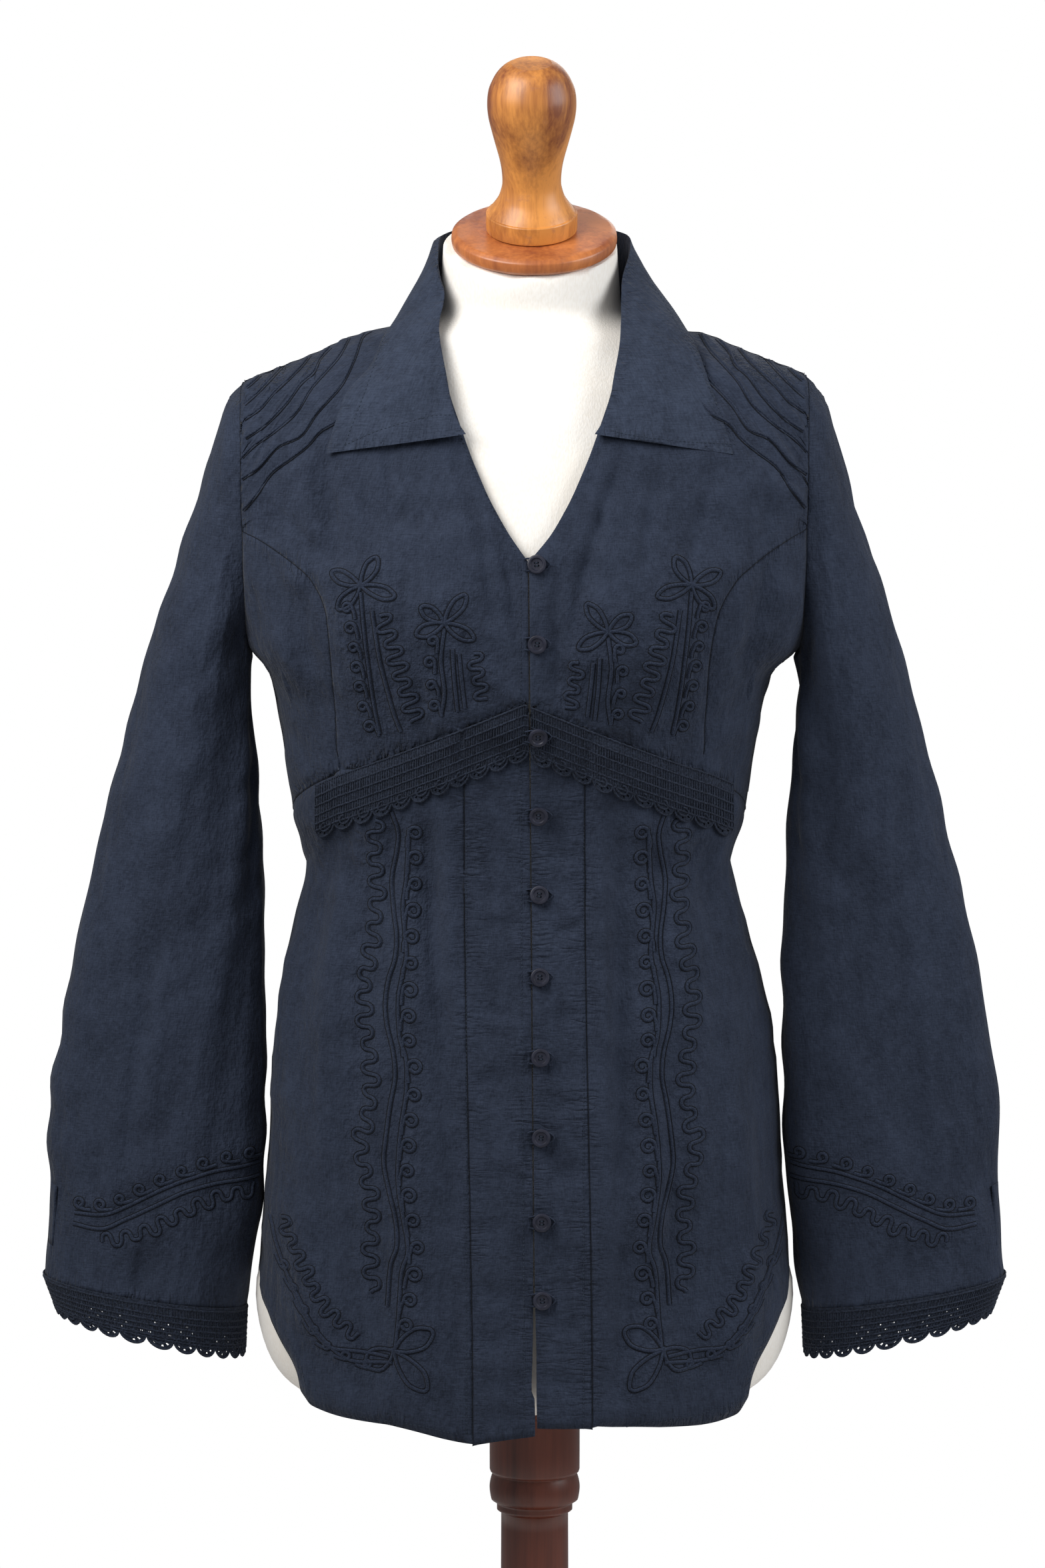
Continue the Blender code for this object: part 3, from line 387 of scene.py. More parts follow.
def shell(name, points, faces, merge):
    # a surface from points and faces, with points nearer than this in millimetres merged
    b = bmesh.new()
    made = [b.verts.new(p) for p in points]
    for face in faces:
        b.faces.new([made[i] for i in face])
    bmesh.ops.remove_doubles(b, verts=b.verts, dist=merge * mm)
    bmesh.ops.dissolve_degenerate(b, edges=b.edges, dist=merge / 2 * mm)
    bmesh.ops.recalc_face_normals(b, faces=b.faces)
    return meshOf(b, name)


def shaded(mesh, sharp):
    mesh.shade_smooth()
    mesh.set_sharp_from_angle(angle=math.radians(sharp))
    return mesh


skin = {"merge": 0.00003, "joinTurn": 32, "joinShape": 80, "tuckTurn": 60, "tucksFrom": 0.885}  # metres, degrees


def weld(name, crease, flat, soft):
    # one clean skin from a solid's loose triangles, creased where it turns by more than flat
    # degrees, with its shoulder tucks left soft where asked
    b = bmesh.new()
    b.from_mesh(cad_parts[name].data)
    bmesh.ops.remove_doubles(b, verts=b.verts, dist=skin["merge"])
    face, shape = math.radians(skin["joinTurn"]), math.radians(skin["joinShape"])
    bmesh.ops.join_triangles(b, faces=b.faces, angle_face_threshold=face, angle_shape_threshold=shape)
    layer = b.edges.layers.float.new("crease_edge")
    for edge in b.edges:
        turn = math.degrees(edge.calc_face_angle(0.0))
        low = min(v.co.z for v in edge.verts)
        if soft and turn < skin["tuckTurn"] and low > skin["tucksFrom"]:
            continue
        edge[layer] = min(max((turn - flat) / (crease - flat), 0), 1) if turn > flat * 2 else 0.0
    return meshOf(b, name)


def smoothed(name, levels, crease=55, flat=8.0, soft=False):
    # a merged copy of a solid, with its broad form smoothed and its edges kept
    rough = linked("rough", weld(name, crease, flat, soft))
    smooth = rough.modifiers.new("smooth", "SUBSURF")
    smooth.levels = smooth.render_levels = levels
    mesh = evaluated(rough)
    bpy.data.objects.remove(rough)
    return shaded(mesh, 50)


def pointsOf(mesh):
    found = np.empty(len(mesh.vertices) * 3, np.float32)
    mesh.vertices.foreach_get("co", found)
    return found.reshape(-1, 3).astype(float)


def movePoints(mesh, points):
    mesh.vertices.foreach_set("co", points.astype(np.float32).ravel())
    mesh.update()


def foldField(x, z, folds):
    # soft troughs and ridges, each from one point to another: bow, width and depth
    total = np.zeros(len(x))
    for (x0, z0), (x1, z1), bow, wide, deep in folds:
        dx, dz = x1 - x0, z1 - z0
        length = math.hypot(dx, dz)
        along = ((x - x0) * dx + (z - z0) * dz) / length**2
        off = ((x - x0) * dz - (z - z0) * dx) / length - bow * 4 * along * (1 - along)
        fade = np.sin(np.pi * np.clip(along, 0, 1)) ** 0.7
        total += deep * fade * np.exp(-((off / wide) ** 2))
    return total


def ripple(points, size, seed):
    # a gentle uneven waving, about 1 high, of this size in metres
    chance = np.random.default_rng(seed)
    total = np.zeros(len(points))
    for _ in range(9):
        way = chance.normal(size=3) * (1, 1, 0.55)
        way /= np.linalg.norm(way)
        pace = 2 * math.pi / size * chance.uniform(0.7, 1.5)
        total += np.sin(points @ way * pace + chance.uniform(0, 6.3))
    return total / 3


def weaveMap(mesh, points, turn, reach):
    # lays the weave along the cloth: round the body or arm, and up
    corners = np.empty(len(mesh.loops), np.int32)
    mesh.loops.foreach_get("vertex_index", corners)
    starts = np.empty(len(mesh.polygons), np.int32)
    totals = np.empty(len(mesh.polygons), np.int32)
    mesh.polygons.foreach_get("loop_start", starts)
    mesh.polygons.foreach_get("loop_total", totals)
    first = np.repeat(turn[corners[starts]], totals)
    angle = turn[corners]
    angle = first + (angle - first + math.pi) % (2 * math.pi) - math.pi
    uv = np.stack([angle * reach, points[corners, 2]], 1).astype(np.float32)
    layer = mesh.uv_layers.new(name="weave")
    layer.data.foreach_set("uv", uv.ravel())


rimTurn = 0.9  # radians: a panel's wall turns more than this at its rim


def nearness(points, rim, reach):
    # 1 on the rim, falling off over this reach in metres
    values = np.zeros(len(points), np.float32)
    if len(rim):
        rim = np.array(rim[:: max(1, len(rim) // 1500)])
        for i in range(0, len(points), 4000):
            near = ((points[i : i + 4000, None] - rim[None]) ** 2).sum(2).min(1)
            values[i : i + 4000] = np.exp(-near / reach**2)
    return values


def seamMask(mesh, points, seamReach, hemReach=8.0):
    # marks how near each point is to the piece's upright seams, to its level hems and to any rim
    b = bmesh.new()
    b.from_mesh(mesh)
    rim = {"seam": [], "hem": [], "rim": []}
    for edge in b.edges:
        if edge.calc_face_angle(0.0) > rimTurn:
            way = edge.verts[1].co - edge.verts[0].co
            middle = (edge.verts[0].co + edge.verts[1].co) / 2
            rim["rim"].append(middle)
            rim["seam" if abs(way.z) > 0.6 * way.length else "hem"].append(middle)
    b.free()
    for name, reach in (("seam", seamReach), ("hem", hemReach), ("rim", 5.0)):
        near = nearness(points, rim[name], reach * mm)
        mark(mesh, name, near)
    return near


def mark(mesh, name, values):
    mesh.attributes.new(name, "FLOAT", "POINT").data.foreach_set("value", values)


outwards = {}  # by piece: the way out of the body or arm at every point


def rimLine(name):
    # the outer corner points of a panel's rim, and the edges between them
    b = bmesh.new()
    b.from_mesh(pieces[name].data)
    away = outwards[name]
    sharp = [e for e in b.edges if e.calc_face_angle(0.0) > rimTurn]
    outer = {v.index for e in sharp for v in e.verts if v.normal @ Vector(away[v.index]) > 0}
    pairs = [(e.verts[0].index, e.verts[1].index) for e in sharp]
    b.free()
    return np.array(sorted(outer)), np.array([p for p in pairs if outer.issuperset(p)])


def nearestOn(points, starts, ends):
    # the nearest place to each point on a set of short lines, and how far it is
    found, far = np.empty_like(points), np.empty(len(points))
    span = ends - starts
    length = (span**2).sum(1) + 1e-12
    for i, place in enumerate(points):
        share = np.clip(((place - starts) * span).sum(1) / length, 0, 1)
        spots = starts + span * share[:, None]
        gaps = ((spots - place) ** 2).sum(1)
        k = gaps.argmin()
        found[i], far[i] = spots[k], math.sqrt(gaps[k])
    return found, far


def drawRim(name, moved, shift):
    # moves rim points, and draws the cloth beside them after them
    points = pointsOf(pieces[name].data)
    tree = KDTree(len(moved))
    for k, i in enumerate(moved):
        tree.insert(points[i], k)
    tree.balance()
    new = points.copy()
    reach = 7 * mm
    low, high = points[moved].min(0) - 2 * reach, points[moved].max(0) + 2 * reach
    for i in np.nonzero(((points > low) & (points < high)).all(1))[0]:
        _, k, far = tree.find(points[i])
        if far < 2.2 * reach:
            new[i] += shift[k] * math.exp(-((far / reach) ** 2))
    new[moved] = points[moved] + shift
    movePoints(pieces[name].data, new)


def sew(first, second, reach=8.0):
    # brings the rims of two panels to one shared seam line, where they lie near each other
    firstRim, firstEdges = rimLine(first)
    secondRim, secondEdges = rimLine(second)
    here, there = pointsOf(pieces[first].data), pointsOf(pieces[second].data)
    hit, far = nearestOn(here[firstRim], there[secondEdges[:, 0]], there[secondEdges[:, 1]])
    near = far < reach * mm
    if near.any():
        drawRim(first, firstRim[near], (hit - here[firstRim])[near] * 0.5)
    here = pointsOf(pieces[first].data)
    kept = np.isin(firstEdges, firstRim[near]).all(1)
    if kept.any():
        hit, far = nearestOn(there[secondRim], here[firstEdges[kept, 0]], here[firstEdges[kept, 1]])
        near = far < reach * 0.7 * mm
        if near.any():
            drawRim(second, secondRim[near], (hit - there[secondRim])[near])


worn = {
    # the front hem's rise by place
    "hem": ((-150, 0), (-120, 1), (-85, 1.5), (-42, -3), (4.6, 0.5), (5.4, 5), (40, 8), (60, 4), (84, 0),
            (110, -3), (132, -5), (150, -4)),
    # how far the seams beside the plackets and the two front edges drift to the right
    "seam": 5.0, "seamSpread": 14, "leftEdge": 2.4, "rightEdge": -1.0, "edgeSpread": 9,
    "shoulder": 4.5, "sides": 3.2,
}


def rise(x, low, high):
    # from 0 to 1, softly, between these two
    t = np.clip((x - low) / (high - low), 0, 1)
    return t * t * (3 - 2 * t)


def swell(x, middle, spread):
    return np.exp(-(((x - middle) / spread) ** 2))


def leaned(points):
    # the worn blouse's unevenness: a higher right shoulder, sides that stand a little to the left,
    # and an uneven hem
    x, z = points[:, 0] / mm, points[:, 2] / mm
    aside = np.abs(x)
    new = points.copy()
    front = rise(-points[:, 1], 0.03, 0.06)
    seams = swell(x, -37, worn["seamSpread"]) + swell(x, 39, worn["seamSpread"])
    new[:, 0] += worn["seam"] * mm * rise(-z, -700, -330) * front * seams
    left = worn["leftEdge"] * swell(x, 1, worn["edgeSpread"]) * (x < 4.7)
    right = worn["rightEdge"] * swell(x, 7, worn["edgeSpread"]) * (x >= 4.7)
    new[:, 0] += mm * rise(-z, -385, -335) * front * (left + right)
    new[:, 2] += mm * np.interp(x, *zip(*worn["hem"])) * rise(-z, -395, -328) * front
    new[:, 2] += worn["shoulder"] * mm * rise(x, 88, 122) * rise(z, 850, 960)
    waist = rise(z, 560, 640) * (1 - rise(z, 800, 870))
    new[:, 0] -= worn["sides"] * mm * waist * rise(aside, 85, 125) * (1 - rise(aside, 152, 168))
    return new


def curved(points, step=1.5):
    # a smooth line through a few points, in steps of about this length
    p = np.array(points, float)
    p = np.vstack([2 * p[0] - p[1], p, 2 * p[-1] - p[-2]])
    line = []
    for i in range(1, len(p) - 2):
        count = max(2, int(np.linalg.norm(p[i + 1] - p[i]) / step))
        bend = 2 * p[i - 1] - 5 * p[i] + 4 * p[i + 1] - p[i + 2]
        twist = 3 * p[i] - p[i - 1] - 3 * p[i + 1] + p[i + 2]
        for t in np.linspace(0, 1, count, endpoint=False):
            line.append(0.5 * (2 * p[i] + (p[i + 1] - p[i - 1]) * t + bend * t**2 + twist * t**3))
    return line + [p[-2]]


# Torso panels: folds as (from, to, bow, width, depth), with x and z as seen from the front

bodyFolds = {
    "front_left": [
        ((-45, 942), (-19, 826), -3, 4, -1.7), ((-38, 935), (-30, 860), -3, 5, 0.9),
        ((-84, 940), (-76, 888), 3, 4.5, -1.0), ((-122, 948), (-112, 862), 4, 7, -1.9),
        ((-132, 945), (-124, 870), 3, 6, 0.8), ((-98, 936), (-90, 868), 2, 5, -0.8),
        ((-164, 916), (-112, 868), 7, 7, -1.3), ((-162, 897), (-138, 826), 5, 7, -1.0),
        ((-136, 856), (-116, 766), 4, 7, -1.2), ((-19, 902), (-3, 808), -2, 3.5, -1.0),
        ((-37, 830), (-24, 782), 2, 4, -0.9), ((-64, 800), (-60, 760), 1, 4, -0.6),
        ((-150, 830), (-126, 790), 4, 6, 0.7),
    ],
    "front_right": [
        ((62, 940), (29, 824), 4, 5, -1.8), ((52, 936), (40, 870), 3, 5, 0.9),
        ((86, 936), (73, 846), 4, 5.5, -1.4), ((118, 928), (101, 856), 3, 6, -1.2),
        ((150, 922), (130, 766), -6, 8, -1.8), ((21, 880), (21, 780), 2, 4, -1.0),
        ((41, 934), (49, 888), 2, 3.5, -0.8), ((154, 880), (112, 846), -5, 7, 0.9),
        ((112, 850), (104, 780), -3, 6, -0.8),
    ],
    "skirt_left": [
        ((-60, 720), (-48, 560), 3, 9, -2.3), ((-44, 716), (-42, 560), 1, 6, 1.1),
        ((-52, 600), (-46, 400), -3, 10, -1.4), ((-105, 716), (-143, 530), 8, 11, -2.3),
        ((-97, 700), (-110, 468), -4, 9, -1.5), ((-108, 690), (-124, 480), 3, 7, 1.1),
        ((-130, 640), (-152, 540), 6, 8, 1.1), ((-60, 480), (-36, 350), 5, 12, -1.9),
        ((-96, 470), (-104, 340), -6, 14, -2.0), ((-132, 470), (-120, 380), 8, 10, 1.6),
        ((-64, 640), (-60, 500), 2, 8, 1.0), ((-74, 720), (-84, 640), 2, 6, -0.9),
    ],
    "skirt_right": [
        ((53, 720), (62, 430), -3, 10, -2.4), ((44, 716), (48, 500), -2, 6, 1.1),
        ((102, 716), (128, 516), -6, 11, -2.2), ((92, 700), (104, 560), 3, 7, 1.0),
        ((135, 650), (153, 410), -4, 11, -2.3), ((122, 640), (140, 440), 3, 7, 1.0),
        ((62, 460), (56, 345), -5, 12, -1.8), ((104, 480), (110, 344), 6, 14, -2.0),
        ((134, 450), (124, 370), -8, 10, 1.5), ((76, 600), (80, 430), 3, 9, 1.0),
        ((86, 560), (92, 400), -2, 8, -1.0),
    ],
    "placket": [
        ((-34, 596), (-2, 590), 2, 3.5, -0.9), ((-34, 546), (-4, 552), -2, 3.5, -0.8),
        ((-36, 500), (0, 492), 2, 4, -1.0), ((-36, 452), (-2, 458), -3, 4, -1.0),
        ((-36, 420), (2, 414), 2, 4, -1.1), ((-36, 388), (0, 392), 2, 4, -1.0),
        ((-36, 362), (2, 358), -2, 4, -1.1), ((-36, 342), (2, 340), 1, 3, -0.9),
        ((-34, 650), (-2, 646), 2, 4, -0.7), ((14, 640), (38, 646), 2, 3.5, -0.8),
        ((14, 590), (38, 586), -2, 3.5, -0.9), ((14, 540), (38, 534), 2, 4, -0.9),
        ((14, 490), (38, 496), 2, 4, -1.0), ((16, 440), (38, 436), -2, 4, -1.0),
        ((16, 396), (38, 402), 2, 4, -1.0), ((16, 360), (38, 356), 2, 4, -1.0),
        ((14, 690), (38, 686), 2, 4, -0.7),
    ],
    "back": [
        ((-60, 940), (-30, 800), 8, 12, -1.4), ((62, 938), (34, 806), -8, 12, -1.4),
        ((0, 860), (2, 720), 3, 12, -1.0), ((-110, 930), (-84, 800), 7, 11, -1.2),
        ((112, 926), (88, 800), -7, 11, -1.2), ((-90, 700), (-98, 540), 6, 11, -1.8),
        ((92, 700), (96, 520), -6, 11, -1.8), ((-38, 690), (-44, 520), 4, 9, -1.5),
        ((34, 694), (46, 530), -4, 9, -1.5), ((-70, 470), (-62, 330), 6, 13, -1.8),
        ((78, 460), (70, 330), -6, 13, -1.8), ((4, 560), (-4, 330), 5, 15, -1.5),
        ((-124, 500), (-118, 360), 6, 12, -1.5), ((126, 480), (120, 350), -6, 12, -1.5),
        ((-100, 716), (-20, 700), 4, 4, -1.2), ((26, 712), (110, 700), -4, 4, -1.2),
    ],
}
torsoPanels = {  # levels of smoothing, the folds' name, and how far puckers reach from an upright seam
    "front_bodice_left": (3, "front_left"),
    "front_bodice_right": (3, "front_right"),
    "side_front_left": (3, "front_left"),
    "side_front_right": (3, "front_right"),
    "front_skirt_left": (3, "skirt_left", 8),
    "front_skirt_right": (3, "skirt_right", 8),
    "placket_left": (3, "placket", 15),
    "placket_right": (3, "placket", 15),
    "back_bodice": (2, "back"),
    "back_skirt": (2, "back"),
}
cloth = {
    "ripple": 0.55, "rippleSize": 0.028, "wave": 1.0, "waveSize": 0.09,  # sizes in metres
    "fold": 2.7, "tuck": 1.3, "ease": 0.8, "puff": {"front": 1.2, "skirt": 2.6}, "round": 0.13,
}
tucks = [  # the lower edge of every tuck of the left shoulder, from the armhole up
    [(-172, 971), (-167, 975), (-162, 980)],
    [(-173, 961), (-165, 968), (-157, 976), (-150, 983), (-145, 986)],
    [(-173, 952), (-163, 959), (-154, 969), (-143, 979), (-137, 985), (-133, 990)],
    [(-172, 941), (-160, 949), (-147, 962), (-138, 974), (-130, 981), (-126, 989), (-119, 996)],
    [(-174, 929), (-166, 937), (-152, 947), (-140, 958), (-131, 972), (-121, 983), (-114, 991),
     (-108, 1002)],
    [(-174, 916), (-163, 924), (-151, 937), (-137, 944), (-127, 958), (-114, 972), (-109, 980),
     (-104, 991), (-100, 1002), (-94, 1006)],
    [(-173, 897), (-164, 908), (-155, 921), (-143, 930), (-133, 938), (-125, 947), (-115, 953),
     (-106, 963), (-97, 976), (-88, 990)],
]
form = {"hip": 0.06, "neck": 0.09, "middle": 0.0035, "gap": 0.7}  # shares, metres, millimetres


def widenForm(points):
    # the form's full hip under the open side vents, and its full neck inside the collar
    low = rise(-points[:, 2], -0.45, -0.395) * (1 - rise(points[:, 1], -0.005, 0.02))
    neck = form["neck"] * rise(points[:, 2], 0.993, 1.03)
    new = points.copy()
    new[:, 0] = points[:, 0] * (1 + form["hip"] * low) + (points[:, 0] - form["middle"]) * neck
    return new


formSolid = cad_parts["dress_form"].data
formTree = BVHTree.FromPolygons([Vector(p) for p in widenForm(pointsOf(formSolid))],
                                [list(p.vertices) for p in formSolid.polygons])


def room(points):
    # how far each point may go in before it meets the form, in millimetres
    far = [formTree.find_nearest(Vector(place))[3] or 0 for place in points]
    return np.array(far) / mm - form["gap"]


def tuckField(x, z):
    # every tuck is a flap that swells towards its lower edge and drops there
    total = np.zeros(len(x))
    places = np.stack([-np.abs(x), z], 1)
    for line in tucks:
        line = np.array(curved(line, 4))
        gaps = places[:, None] - line[None]
        near = (gaps**2).sum(2).argmin(1)
        way = np.gradient(line, axis=0)[near]
        off = gaps[np.arange(len(x)), near]
        length = np.linalg.norm(way, axis=1)
        above = (way[:, 0] * off[:, 1] - way[:, 1] * off[:, 0]) / length
        past = np.abs((way * off).sum(1)) / length
        flap = np.where(above > 0, np.exp(-above / 4.5), swell(above, 0, 0.8))
        total = np.maximum(total, flap * swell(past, 0, 4))
    return total


def makeTorsoPanel(name, levels, folds, pucker=0.01):
    mesh = smoothed(name, levels, soft="front" in name and levels > 2)
    points = pointsOf(mesh)
    outward = points * (0.5, 1.0, 0.0)
    outward /= np.linalg.norm(outward, axis=1)[:, None] + 1e-9
    facing = np.clip(np.abs(points[:, 1]) / 0.03, 0, 1)
    x, z = points[:, 0] / mm, points[:, 2] / mm
    shift = cloth["fold"] * foldField(x, z, bodyFolds[folds]) * facing
    across = np.arctan2(points[:, 0], points[:, 1]) * cloth["round"]
    flat = np.stack([across, points[:, 2], points[:, 2] * 0], 1)
    shift += cloth["ripple"] * ripple(flat, cloth["rippleSize"], 3)
    shift += cloth["wave"] * ripple(flat, cloth["waveSize"], 5)
    shift += cloth["puff"].get(folds.split("_")[0], 0) * rise(np.abs(x - 2), 14, 42) * facing
    if folds.startswith("front"):
        shift += cloth["tuck"] * tuckField(x, z)
    rim = seamMask(mesh, points, pucker)
    shift = np.maximum((shift + cloth["ease"]) * (1 - 0.9 * rim), -room(points))
    movePoints(mesh, points + outward * (shift * mm)[:, None])
    outwards[name] = outward
    back = points[:, 1].mean() > 0
    turn = np.arctan2(points[:, 0], points[:, 1] if back else -points[:, 1])
    weaveMap(mesh, points, turn, cloth["round"])
    return addPiece(f"cloth_{name}", mesh, "cloth", [name])


pieces = {name: makeTorsoPanel(name, *values) for name, values in torsoPanels.items()}
print("torso panels made")


# Sleeves: folds as (from, to, bow, width, depth), with x round the arm, 0 at the front and outwards positive

sleeve = {
    "levels": 3,
    "folds": [
        ((-42, 870), (-44, 560), 4, 8, -2.6), ((-28, 880), (-34, 600), 3, 8, 1.3),
        ((-46, 640), (-40, 430), -3, 7, -1.8), ((22, 600), (30, 400), 4, 6, 1.1),
        ((12, 640), (20, 410), 3, 8, -1.6), ((-64, 700), (-6, 664), 6, 6, -1.1),
        ((-62, 660), (-4, 632), 5, 6, -1.0), ((-60, 740), (-16, 716), 5, 7, -1.0),
        ((4, 436), (10, 396), 1, 3, -1.3), ((40, 820), (52, 640), -4, 10, -1.4),
        ((-10, 930), (4, 800), -5, 11, -1.2), ((50, 560), (56, 430), 2, 9, -1.2),
        ((120, 840), (126, 560), 4, 11, -2.0), ((150, 700), (146, 460), -4, 11, -1.8),
        ((-100, 760), (-112, 500), 3, 11, -1.8),
    ],
    "ripple": 0.9, "rippleSize": 0.04, "radius": 0.045, "fold": 1.6,  # size and radius in metres
    "innerEase": 4.0, "corner": 5.0, "cornerTurn": -0.95, "cornerSpread": 0.36,  # turns in radians
    "tabIn": 2.5,
}


def armFrame(points, hand):
    # the angle round the arm and the way out of it, from a line through its middle
    middle = np.polyval(np.polyfit(points[:, 2], points[:, 0], 3), points[:, 2])
    deep = points[:, 1].mean()
    away = np.stack([(points[:, 0] - middle) * hand, points[:, 1] - deep], 1)
    turn = np.arctan2(away[:, 0], -away[:, 1])
    away /= np.linalg.norm(away, axis=1)[:, None]
    return turn, np.stack([away[:, 0] * hand, away[:, 1], away[:, 0] * 0], 1)


def makeSleeve(side):
    mesh = smoothed(f"sleeve_{side}", sleeve["levels"])
    points = pointsOf(mesh)
    turn, outward = armFrame(points, hands[side])
    rim = seamMask(mesh, points, 0.01)
    around, high = sleeve["radius"], points[:, 2] / mm
    shift = sleeve["fold"] * foldField(turn * around / mm, high, sleeve["folds"])
    top = np.clip((880 - high) / 60, 0, 1)
    inner = np.clip(-np.sin(turn), 0, 1) ** 1.5 * np.clip((high - 385) / 60, 0, 1)
    corner = swell(turn, sleeve["cornerTurn"], sleeve["cornerSpread"]) * np.clip((high - 400) / 60, 0, 1)
    shift += sleeve["innerEase"] * inner * top
    shift += sleeve["corner"] * corner * top
    flat = np.stack([np.sin(turn) * around, points[:, 2], np.cos(turn) * around], 1)
    shift += sleeve["ripple"] * ripple(flat, sleeve["rippleSize"], 11 + hands[side])
    movePoints(mesh, points + outward * (shift * (1 - 0.9 * rim) * mm)[:, None])
    outwards[f"sleeve_{side}"] = outward
    weaveMap(mesh, points, turn, sleeve["radius"])
    return addPiece(f"cloth_sleeve_{side}", mesh, "cloth", [f"sleeve_{side}"])


for side in hands:
    pieces[f"sleeve_{side}"] = makeSleeve(side)
    name = f"cuff_tab_{side}"
    mesh = smoothed(name, 2)
    points = pointsOf(mesh) - (hands[side] * sleeve["tabIn"] * mm, 0, 0)
    movePoints(mesh, points)
    weaveMap(mesh, points, points[:, 1] / sleeve["radius"], sleeve["radius"])
    pieces[name] = addPiece(f"cloth_{name}", mesh, "cloth", [name])


# Collar

collar = {
    "folds": [((-62, 1010), (-60, 955), 2, 5, -0.7), ((68, 1012), (72, 950), -2, 5, -0.7)],
    "ripple": 0.35, "rippleSize": 0.05, "leftIn": 9.0, "rightIn": 3.0,
}


def makeCollar():
    mesh = smoothed("collar", 2, 50, 12)
    points = pointsOf(mesh)
    outward = points * (1, 1, 0)
    outward /= np.linalg.norm(outward, axis=1)[:, None] + 1e-9
    x, z = points[:, 0] / mm, points[:, 2] / mm
    shift = collar["ripple"] * ripple(points, collar["rippleSize"], 21) + foldField(x, z, collar["folds"])
    start = np.interp(z, (990, 1045), (62, 34))
    left = collar["leftIn"] * rise(-x, start, start + 20) * rise(z, 968, 990)
    right = collar["rightIn"] * rise(x, start, start + 20) * rise(z, 1010, 1040)
    points[:, 0] += mm * (left - right)
    movePoints(mesh, points + outward * (shift * mm)[:, None])
    seamMask(mesh, points, 7, 7)
    weaveMap(mesh, points, np.arctan2(points[:, 0], -points[:, 1]), 0.08)
    return addPiece("cloth_collar", mesh, "collarCloth", ["collar"])


pieces["collar"] = makeCollar()
sewn = {}
for side in hands:
    names = ("front_bodice", "side_front", "front_skirt", "placket", "sleeve")
    bodice, sideFront, skirtPanel, placket, arm = (f"{name}_{side}" for name in names)
    sewn[side] = [
        (sideFront, bodice), (sideFront, "back_bodice"), (bodice, "back_bodice"), (placket, skirtPanel),
        (skirtPanel, bodice), (skirtPanel, sideFront), (placket, bodice), (arm, bodice),
        (arm, sideFront), (arm, "back_bodice"),
    ]
    for first, second in sewn[side]:
        sew(first, second, 5.0 if (first, second) == (placket, bodice) else 7.0 if first == arm else 8.0)
sewn["left"].append(("back_skirt", "back_bodice"))
sew("back_skirt", "back_bodice")
for name in [*torsoPanels, "sleeve_left", "sleeve_right"]:
    movePoints(pieces[name].data, leaned(pointsOf(pieces[name].data)))
print("sleeves and collar made")


# The stand and form

stand = {
    # how the plate and knob sit on the neck
    "lean": 3.0, "drop": 2.0, "plateAside": 2.5, "knobAside": 1.0,
    # the knob's outline as (height, radius), its own lean in degrees, and its sides
    "knobFoot": [(0, 0), (0, 27.2), (0.7, 28.1), (2, 28.4), (11.2, 28.4), (11.8, 28.1), (12.0, 26.9)],
    "knobTop": [(12.0, 26.9), (14.4, 25.4), (18, 22.8), (22, 20.5), (28, 18.7), (33, 18.2), (41, 18.8),
                (48.5, 20.2), (58, 22.7), (67, 25.0), (75.5, 26.9), (83, 27.5), (91, 26.9),
                (97.5, 24.6), (102.5, 21.8), (106.3, 18.4), (108.6, 15.2)],
    "knobFacet": [(109.6, 13.0), (109.9, 12.5), (110.1, 8), (110.2, 0)],
    "knobLean": 17, "knobSides": 56,
    "postFrom": 5.0, "postTo": 6.5, "postWide": 1.03,
}


def neckTurn(points, aside):
    # the plate and the knob lean a little further forward than the solids, about the top of the neck
    top = np.array(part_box("neck_plate")).mean(0)
    turn = math.radians(stand["lean"])
    y, z = points[:, 1] - top[1], points[:, 2] - top[2]
    fore = top[1] + y * math.cos(turn) - z * math.sin(turn)
    high = top[2] + y * math.sin(turn) + z * math.cos(turn) - stand["drop"] * mm
    return np.stack([points[:, 0] + aside * mm, fore, high], 1)


def makeKnob():
    # turned about the solid knob's own axis, from its foot ring's middle to its facet's middle
    rough = pointsOf(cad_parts["neck_knob"].data)
    lean = math.radians(stand["knobLean"])
    axis = np.array([0, -math.sin(lean), math.cos(lean)])
    fore = np.array([0, -math.cos(lean), -math.sin(lean)])
    high = rough @ axis
    foot = rough[high < high.min() + 0.0005].mean(0)
    foot -= axis * (foot @ axis - high.min())
    profile = stand["knobFoot"] + [tuple(p) for p in curved(stand["knobTop"], 1.2)[1:]] + stand["knobFacet"]
    points, faces, sides = [], [], stand["knobSides"]
    for along, out in profile:
        for k in range(sides):
            turn = 2 * math.pi * k / sides
            away = np.array([math.sin(turn), 0, 0]) + fore * math.cos(turn)
            points.append(foot + axis * (along * mm) + away * (out * mm))
    for i in range(len(profile) - 1):
        for k in range(sides):
            a, b = i * sides + k, i * sides + (k + 1) % sides
            faces.append((a, b, b + sides, a + sides))
    return shaded(shell("knob", neckTurn(np.array(points), stand["knobAside"]), faces, 0.02), 25)


